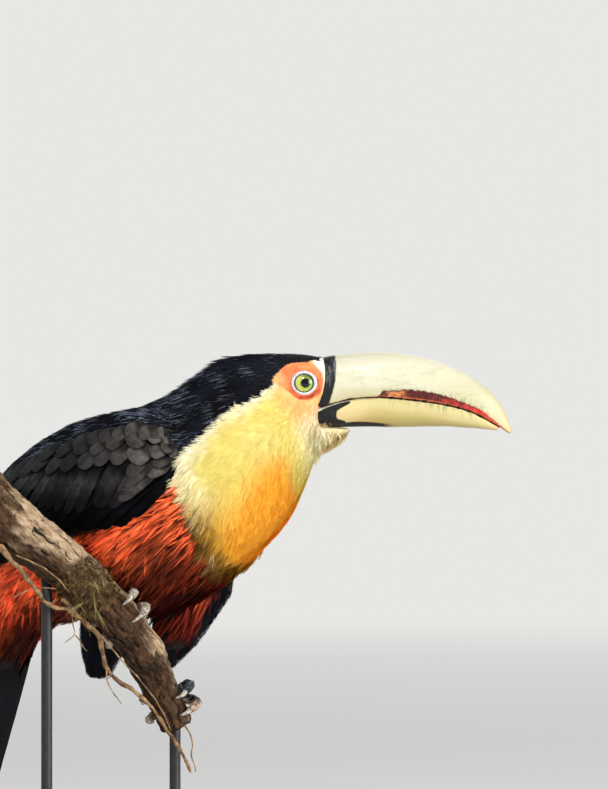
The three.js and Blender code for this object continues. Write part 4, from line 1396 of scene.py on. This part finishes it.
# ---------------------------------------------------------------- legs, feet and claws
def scale_finish():
    finish = Finish("scaly_skin", Roughness=0.5, Specular_IOR_Level=0.35)
    place = finish.place(IN_MM)
    x, y, z = finish.split(place)
    rings = finish.noise(finish.join(x * 1.1, y * 0.9, z * 1.5), 0.55, 1.0, 0.4)
    plates = finish.cells(place, 0.62)
    rim = finish.cells(place, 0.62, "DISTANCE_TO_EDGE")
    tone = finish.noise(place, 0.35, 4.0)
    # Painted light and shade on one scaly skin: tan on the lowest toe and pale on the near foot, where light falls, and
    # dark slate on the far foot between, in shade.
    lit_tan = finish.mix(shade(128, 104, 88), shade(226, 196, 170), tone.between(0.3, 0.65))
    shaded_slate = finish.mix(shade(28, 30, 36), shade(126, 130, 138), tone.between(0.4, 0.75))
    near = finish.mix(shade(142, 118, 98), shade(222, 214, 200), tone.between(0.3, 0.6))
    colour = finish.layers(lit_tan, (shaded_slate, z.between(99.5, 102.5)), (near, z.between(116.0, 122.0)))
    colour = finish.mix(finish.multiply(colour, 0.45), colour, rim.between(0.0, 0.13))
    finish.set("Base Color", colour)
    finish.bump(rim.between(0.0, 0.2) - plates * 0.3 + rings * 0.5, 0.0004, 0.9)
    return finish


def claw_finish():
    finish = Finish("claw_horn", Roughness=0.35, Specular_IOR_Level=0.5)
    tone = finish.noise(finish.place(IN_MM), 0.5, 4.0)
    finish.set("Base Color", finish.mix(shade(104, 98, 90), shade(214, 206, 190), tone.between(0.3, 0.7)))
    finish.bump(tone, 0.0002, 0.4)
    return finish


def build_legs():
    scales, horn = scale_finish(), claw_finish()
    for side in ("right", "left"):
        leg = remeshed(f"leg_{side}", [f"tarsus_{side}", f"foot_{side}"], 0.45, 5, 0.0006, scales)
        co, normal = arrays(leg.data)
        pads = 0.16 * np.sin(ripple(co, 0.012, 71) * 5 + co @ np.array([900.0, 700.0, 1500.0]))
        move_points(leg.data, co + normal * (pads * MM)[:, None])
        dress(leg, "skin_scale", f"tarsus_{side}", f"foot_{side}")
        for toe in ("inner_front", "outer_front", "inner_back", "outer_back"):
            node = f"claw_{side}_{toe}"
            claw = remeshed(f"{node}_horn", [node], 0.22, 4, 0.00002, horn)
            dress(claw, "claw_horn", node)


build_legs()


# ---------------------------------------------------------------- perch
# The branch from its upper end down: the middle of each section and its half width, millimetres.
BRANCH = [
    (-96, -34, 231, 16.5), (-70, -37, 203, 15.5), (-44, -40, 182, 14.2), (-24, -41, 165, 12.8), (-7, -40, 148, 12.0),
    (5, -37, 131, 11.4), (13, -33, 115, 10.6), (20, -29, 100, 9.6), (25, -26, 87, 8.8),
]


def bark_finish():
    finish = Finish("bark", Roughness=0.85, Specular_IOR_Level=0.2)
    place = finish.place(IN_MM)
    wear_and_top_light, crack, moss = finish.split(finish.attribute("bark"))
    x, y, z = finish.split(place)
    grain = finish.join((x - z) * 0.22, y, (x + z) * 0.8)
    fine = finish.noise(grain, 0.55, 6.0, 0.68)
    broad = finish.noise(grain, 0.1, 4.0, 0.65)
    stain = finish.noise(grain, 0.2, 5.0, 0.7)
    brown = finish.mix(shade(32, 22, 15), shade(98, 70, 47), fine.between(0.3, 0.72))
    pale = finish.mix(shade(126, 102, 77), shade(200, 174, 142), fine.between(0.3, 0.7))
    # Painted shade: lower down the bark gets fewer pale patches and more dark stains.
    low = z.between(170.0, 135.0)
    finish.set("Base Color", finish.layers(
        brown,
        (pale, (wear_and_top_light + broad * 1.3 - (low * 0.1 + 0.65)).between(0.3, 0.62)),
        (shade(30, 21, 14), (stain + low * 0.06).between(0.54, 0.64) * 0.8),
        (shade(150, 158, 142), broad.between(0.66, 0.74) * wear_and_top_light * 0.6),
        (shade(24, 17, 13), (crack * 0.9 + fine * 0.25).between(0.4, 0.8)),
        (finish.mix(shade(44, 31, 20), shade(104, 82, 52), fine), moss * 0.85),
    ))
    finish.bump(fine * 0.6 - crack * 0.4, 0.001, 0.9)
    return finish


def build_branch():
    branch = remeshed("branch", ["perch_branch"], 0.95, 8, 0.00002, bark_finish())
    co, normal = arrays(branch.data)
    step = 1.45 * MM  # between points on the branch's middle line
    line = smooth_rows(BRANCH, np.linspace(0, len(BRANCH) - 1, 161))[:, :3] * MM
    along = unit(np.gradient(line, axis=0))
    front = unit(along * along[:, 1:2] - [0.0, 1.0, 0.0])
    near = ((co[:, None, :] - line) ** 2).sum(-1).argmin(1)
    line, along, front = line[near], along[near], front[near]
    ahead = dot(co - line, along)
    travel = near * step + ahead
    spoke = unit(co - line - along * ahead[:, None])
    turn = np.arctan2(dot(spoke, np.cross(front, along)), dot(spoke, front))
    wander = ripple(np.stack([travel, 0.01 * np.cos(turn), 0.01 * np.sin(turn)], 1), 0.05, 61)
    small = ripple(co, 0.012, 62)
    ridges = np.abs(np.sin(turn * 5.5 + 1.6 * wander + 0.5 * small))
    flakes = np.abs(np.sin(travel / MM * 0.16 + 1.5 * wander + 2 * np.sin(turn * 2)))
    crack = np.clip(1 - 2.2 * ridges, 0, 1) * smoothstep(-0.5, 0.3, small)
    crack = np.maximum(crack, np.clip(1 - 5 * flakes, 0, 1) * smoothstep(0.1, 0.6, small))
    cut = smoothstep(0.9, 0.98, np.abs(dot(normal, along)))
    relief = 0.55 * wander + 0.5 * ripple(co, 0.02, 65) + 0.45 * ridges
    relief = (relief + 0.35 * ripple(co, 0.007, 63) + 0.2 * ripple(co, 0.003, 64) - 1.3 * crack) * (1 - cut)
    move_points(branch.data, co + normal * ((relief - 0.5) * MM)[:, None])
    # Painted light with some wear: the bark is paler where it faces up and towards the left, where the light falls.
    wear_and_top_light = np.clip(0.35 + 0.75 * normal[:, 2] - 0.1 * normal[:, 0] + 0.25 * wander, 0, 1)
    moss = smoothstep(0.02, 0.007, np.abs(travel - 0.09) + 0.004 * small) * smoothstep(1.0, 0.4, normal[:, 2])
    set_attribute(branch.data, "bark", np.stack([wear_and_top_light, crack, moss], 1))
    dress(branch, "bark", "perch_branch")
    co, normal = arrays(branch.data)
    return SimpleNamespace(co=co, normal=normal, moss=moss)


# Rootlets that cling to the branch: half width and the points they pass, millimetres.
ROOTS = [
    (1.6, [(-70, -50, 186), (-59, -50, 174), (-50, -49, 162), (-44, -48, 155), (-34, -47, 151), (-27, -44, 147)]),
    (1.5, [(-36, -46, 157), (-32, -47, 153), (-25, -45, 145), (-17, -43, 137), (-14, -43, 127), (-12, -42, 119),
           (-1, -42, 109), (7, -41, 103), (16, -38, 93), (21, -37, 84), (29, -36, 72), (33, -35, 63)]),
    (0.45, [(-60, -53, 180), (-52, -55, 177), (-45, -55, 173), (-36, -55, 166), (-31, -53, 160)]),
    (0.4, [(-62, -52, 157), (-54, -54, 161), (-46, -55, 163), (-38, -55, 162)]),
    (0.4, [(-31, -48, 154), (-30, -50, 146), (-29, -50, 138), (-34, -51, 133)]),
    (0.35, [(-29, -50, 138), (-25, -51, 133), (-22, -51, 129)]),
    (0.5, [(-18, -47, 140), (-12, -48, 134), (-3, -47, 123), (6, -46, 113), (14, -42, 102), (19, -40, 94),
           (22, -38, 86)]),
    (0.4, [(-13, -45, 121), (-11, -47, 112), (-7, -47, 105), (-4, -46, 101)]),
    (0.55, [(20, -32, 96), (29, -33, 88), (33, -33, 80), (33, -33, 72), (35, -34, 64)]),
]


def root_finish():
    finish = Finish("rootlets", Roughness=0.8, Specular_IOR_Level=0.2)
    place = finish.place(IN_MM)
    tone = finish.noise(place, 0.25, 5.0, 0.65)
    fine = finish.noise(place, 1.6, 4.0, 0.6)
    colour = finish.mix(shade(88, 62, 42), shade(190, 154, 112), (tone * 0.8 + fine * 0.3).between(0.4, 0.75))
    finish.set("Base Color", colour)
    finish.bump(fine, 0.0004, 0.7)
    return finish


def build_roots():
    finish = root_finish()
    random = np.random.default_rng(35)
    for number, (half, line) in enumerate(ROOTS):
        steps = 8 * (len(line) - 1) + 1
        way = smooth_rows(np.array(line, float), np.linspace(0, len(line) - 1, steps))
        way += np.stack([ripple(way * MM, 0.011, 300 + number * 3 + k) for k in range(3)], 1) * min(half, 0.8) * 0.8
        along = unit(np.gradient(way, axis=0))
        bm = bmesh.new()
        previous = None
        for k in range(steps):
            t = k / (steps - 1)
            radius = half * (1 - 0.45 * t) * (1 + 0.16 * math.sin(5 * t * len(line) + number) + random.normal(0, 0.04))
            end = k in (0, steps - 1)
            if end:
                radius *= 0.4
            turn = Vector(along[k]).to_track_quat("Z", "Y").to_matrix().to_4x4()
            made = bmesh.ops.create_circle(
                bm, cap_ends=end, segments=12 if half > 1 else 8, radius=radius * MM,
                matrix=Matrix.Translation(Vector(way[k] * MM)) @ turn,
            )
            ring = list({edge for vert in made["verts"] for edge in vert.link_edges})
            if previous:
                bmesh.ops.bridge_loops(bm, edges=previous + ring)
            previous = ring
        bmesh.ops.recalc_face_normals(bm, faces=bm.faces)
        dress(from_bmesh(f"rootlet_{number + 1}", bm, finish), "bark")


def build_moss(branch):
    """A tuft of moss and dry grass that grows on the branch."""
    finish = plume_finish("moss", 0.8, 0.5, 9.0, 0.1, 0.35, Specular_IOR_Level=0.15)
    random = np.random.default_rng(36)
    tufts = [barb_fan(6, 0.9, 3, 0.09, 200 + seed) for seed in range(4)]
    blades = [barb_fan(3, 0.9, 4, 0.1, 210 + seed, curl=0.5) for seed in range(4)]
    for name, pattern, count, low, high, width, colours in (
        ("moss", tufts, 900, 2.0, 5.0, 2.0, (shade(48, 34, 22), shade(132, 106, 66))),
        ("dry_grass", blades, 26, 9.0, 19.0, 2.0, (shade(118, 108, 60), shade(196, 184, 126))),
    ):
        index = random.choice(np.flatnonzero(branch.moss > (0.3 if name == "moss" else 0.75)), count)
        root, out = branch.co[index], branch.normal[index]
        lean = random.normal(0, 1, (count, 3)) + np.array([-0.2, -0.3, -0.5])
        way = unit(out * 0.5 + unit(lean - out * dot(lean, out)[:, None]))
        length = random.uniform(low, high, count) * MM
        reach = length[:, None, None] * STATIONS[None, :, None]
        points = root[:, None] + way[:, None] * reach + np.array([0, 0, -0.35]) * (reach * STATIONS[None, :, None])
        tint = layered(colours[0], count, (colours[1], random.uniform(0, 1, count)))
        plumage(
            name, pattern, points, np.repeat(out[:, None], len(STATIONS), 1), width / 2 * MM, 0.0, 0.8 * MM, tint,
            np.full((count, 2), 0.5), finish, "bark",
        )


branch = build_branch()
build_roots()
build_moss(branch)


# ---------------------------------------------------------------- stand
def dress_stand():
    wood = Finish("stained_wood", Specular_IOR_Level=0.4, Coat_Weight=0.3, Coat_Roughness=0.25)
    place = wood.place((1.0, 6.0, 6.0))
    rings = wood.noise(place, 22.0, 6.0, 0.6, 1.2)
    pores = wood.noise(place, 240.0, 4.0, 0.7)
    figure = (rings * 0.8 + pores * 0.2).between(0.35, 0.65)
    wood.set("Base Color", wood.mix(shade(38, 24, 17), shade(78, 50, 33), figure))
    wood.set("Roughness", pores * 0.2 + 0.32)
    wood.bump(pores, 0.0003, 0.3)
    steel = Finish("painted_steel", Metallic=0.0, Specular_IOR_Level=0.5)
    place = steel.place()
    fine = steel.noise(place, 900.0, 4.0, 0.6)
    steel.set("Base Color", steel.mix(shade(26, 26, 28), shade(46, 46, 49), fine.between(0.35, 0.7)))
    steel.set("Roughness", fine * 0.2 + 0.35)
    steel.bump(fine, 0.0001, 0.3)

    def spun(node, profile, steps, finish, slot):
        """A turned piece on the middle of a CAD node: radius and height, millimetres, from the bottom up."""
        box = np.array([NODES[node].matrix_world @ Vector(corner) for corner in NODES[node].bound_box])
        middle = (box.min(0) + box.max(0)) / 2
        bm = bmesh.new()
        line = [bmesh.ops.create_vert(bm, co=(r * MM, 0, h * MM))["vert"][0] for r, h in profile]
        for pair in zip(line, line[1:]):
            bmesh.ops.contextual_create(bm, geom=list(pair))
        spin_round(bm, steps)
        bmesh.ops.translate(bm, verts=bm.verts, vec=(middle[0], middle[1], box.min(0)[2]))
        dress(from_bmesh(f"{node}_turned", bm, finish), slot, node)

    wide, rod, top = 81.95, 2.98, 13.98  # half widths of the base and of a rod, and the base's height
    groove = [(wide, 3.4), (81.2, 3.7), (80.9, 4.2), (81.2, 4.7), (wide, 5.0)]
    foot = [(81.2, 0.0), (81.7, 0.3), (wide, 0.9)]
    rim = [(wide - 2.6 * (1 - math.cos(a)), 11.4 + 2.58 * math.sin(a)) for a in np.linspace(0, math.pi / 2, 8)]
    base = [(0.0, 0.0), *foot, *groove, *rim, (40.0, top), (0.0, top)]
    spun("stand_base", base, 96, wood, "stand_wood")
    for node in ("stand_rod_low", "stand_rod_high"):
        high = NODES[node].dimensions.z / MM
        side = [(rod, high * k / 8) for k in range(9)]
        spun(node, [(0.0, 0.0), *side, (0.0, high)], 40, steel, "stand_steel")


dress_stand()


# ---------------------------------------------------------------- floor, light and camera
def build_room():
    pale = (0.80, 0.80, 0.78, 1)
    finish = Finish("floor", Roughness=0.9, Specular_IOR_Level=0.1)
    finish.shader.inputs["Base Color"].default_value = pale
    x, y, _ = finish.split(finish.place())
    far = ((x * x + y * y) ** 0.5).between(0.8, 3.2)
    glow = finish.tree.nodes.new("ShaderNodeEmission")
    glow.inputs["Color"].default_value = pale
    both = finish.tree.nodes.new("ShaderNodeMixShader")
    finish.feed(both.inputs[0], far)
    finish.tree.links.new(finish.shader.outputs[0], both.inputs[1])
    finish.tree.links.new(glow.outputs[0], both.inputs[2])
    output = next(node for node in finish.tree.nodes if node.type == "OUTPUT_MATERIAL")
    finish.tree.links.new(both.outputs[0], output.inputs["Surface"])
    bm = bmesh.new()
    bmesh.ops.create_circle(bm, cap_ends=True, segments=64, radius=30.0)
    from_bmesh("floor", bm, finish)

    world = bpy.data.worlds.new("room")
    bpy.context.scene.world = world
    world.use_nodes = True
    nodes, links = world.node_tree.nodes, world.node_tree.links
    light = nodes["Background"]
    light.inputs["Color"].default_value = (0.93, 0.96, 1.0, 1)
    light.inputs["Strength"].default_value = 0.36
    seen = nodes.new("ShaderNodeBackground")
    seen.inputs["Color"].default_value = pale
    seen.inputs["Strength"].default_value = 1.0
    path = nodes.new("ShaderNodeLightPath")
    pick = nodes.new("ShaderNodeMixShader")
    links.new(path.outputs["Is Camera Ray"], pick.inputs[0])
    links.new(light.outputs[0], pick.inputs[1])
    links.new(seen.outputs[0], pick.inputs[2])
    links.new(pick.outputs[0], nodes["World Output"].inputs["Surface"])

    def lamp(name, at, target, size, watts, colour):
        data = bpy.data.lights.new(name, "AREA")
        data.shape = "DISK"
        data.size = size
        data.energy = watts
        data.color = colour
        obj = bpy.data.objects.new(name, data)
        obj.location = at
        obj.rotation_euler = (Vector(target) - Vector(at)).to_track_quat("-Z", "Y").to_euler()
        bpy.context.scene.collection.objects.link(obj)

    lamp("sun", (-0.25, -1.85, 2.0), (0.02, -0.02, 0.2), 0.55, 37, (1.0, 0.98, 0.94))
    lamp("fill", (1.9, -1.2, 0.6), (0.05, 0, 0.2), 1.3, 44, (1.0, 0.98, 0.95))
    lamp("back", (0.3, 1.9, 1.4), (0, 0, 0.2), 1.4, 7, (1.0, 1.0, 1.0))


def set_camera():
    data = bpy.data.cameras.new("camera")
    away, seen_height = 2.6, 0.4221  # metres
    data.sensor_fit = "VERTICAL"
    data.sensor_height = 24.0
    data.lens = data.sensor_height * away / seen_height
    data.clip_start = 0.1
    data.clip_end = 200
    camera = bpy.data.objects.new("camera", data)
    camera.location = (0.0931, HEAD_Y * MM - away, 0.2651)
    camera.rotation_euler = (math.radians(90), 0, 0)
    bpy.context.scene.collection.objects.link(camera)
    bpy.context.scene.camera = camera
    bpy.context.scene.view_settings.view_transform = "Standard"


build_room()
set_camera()
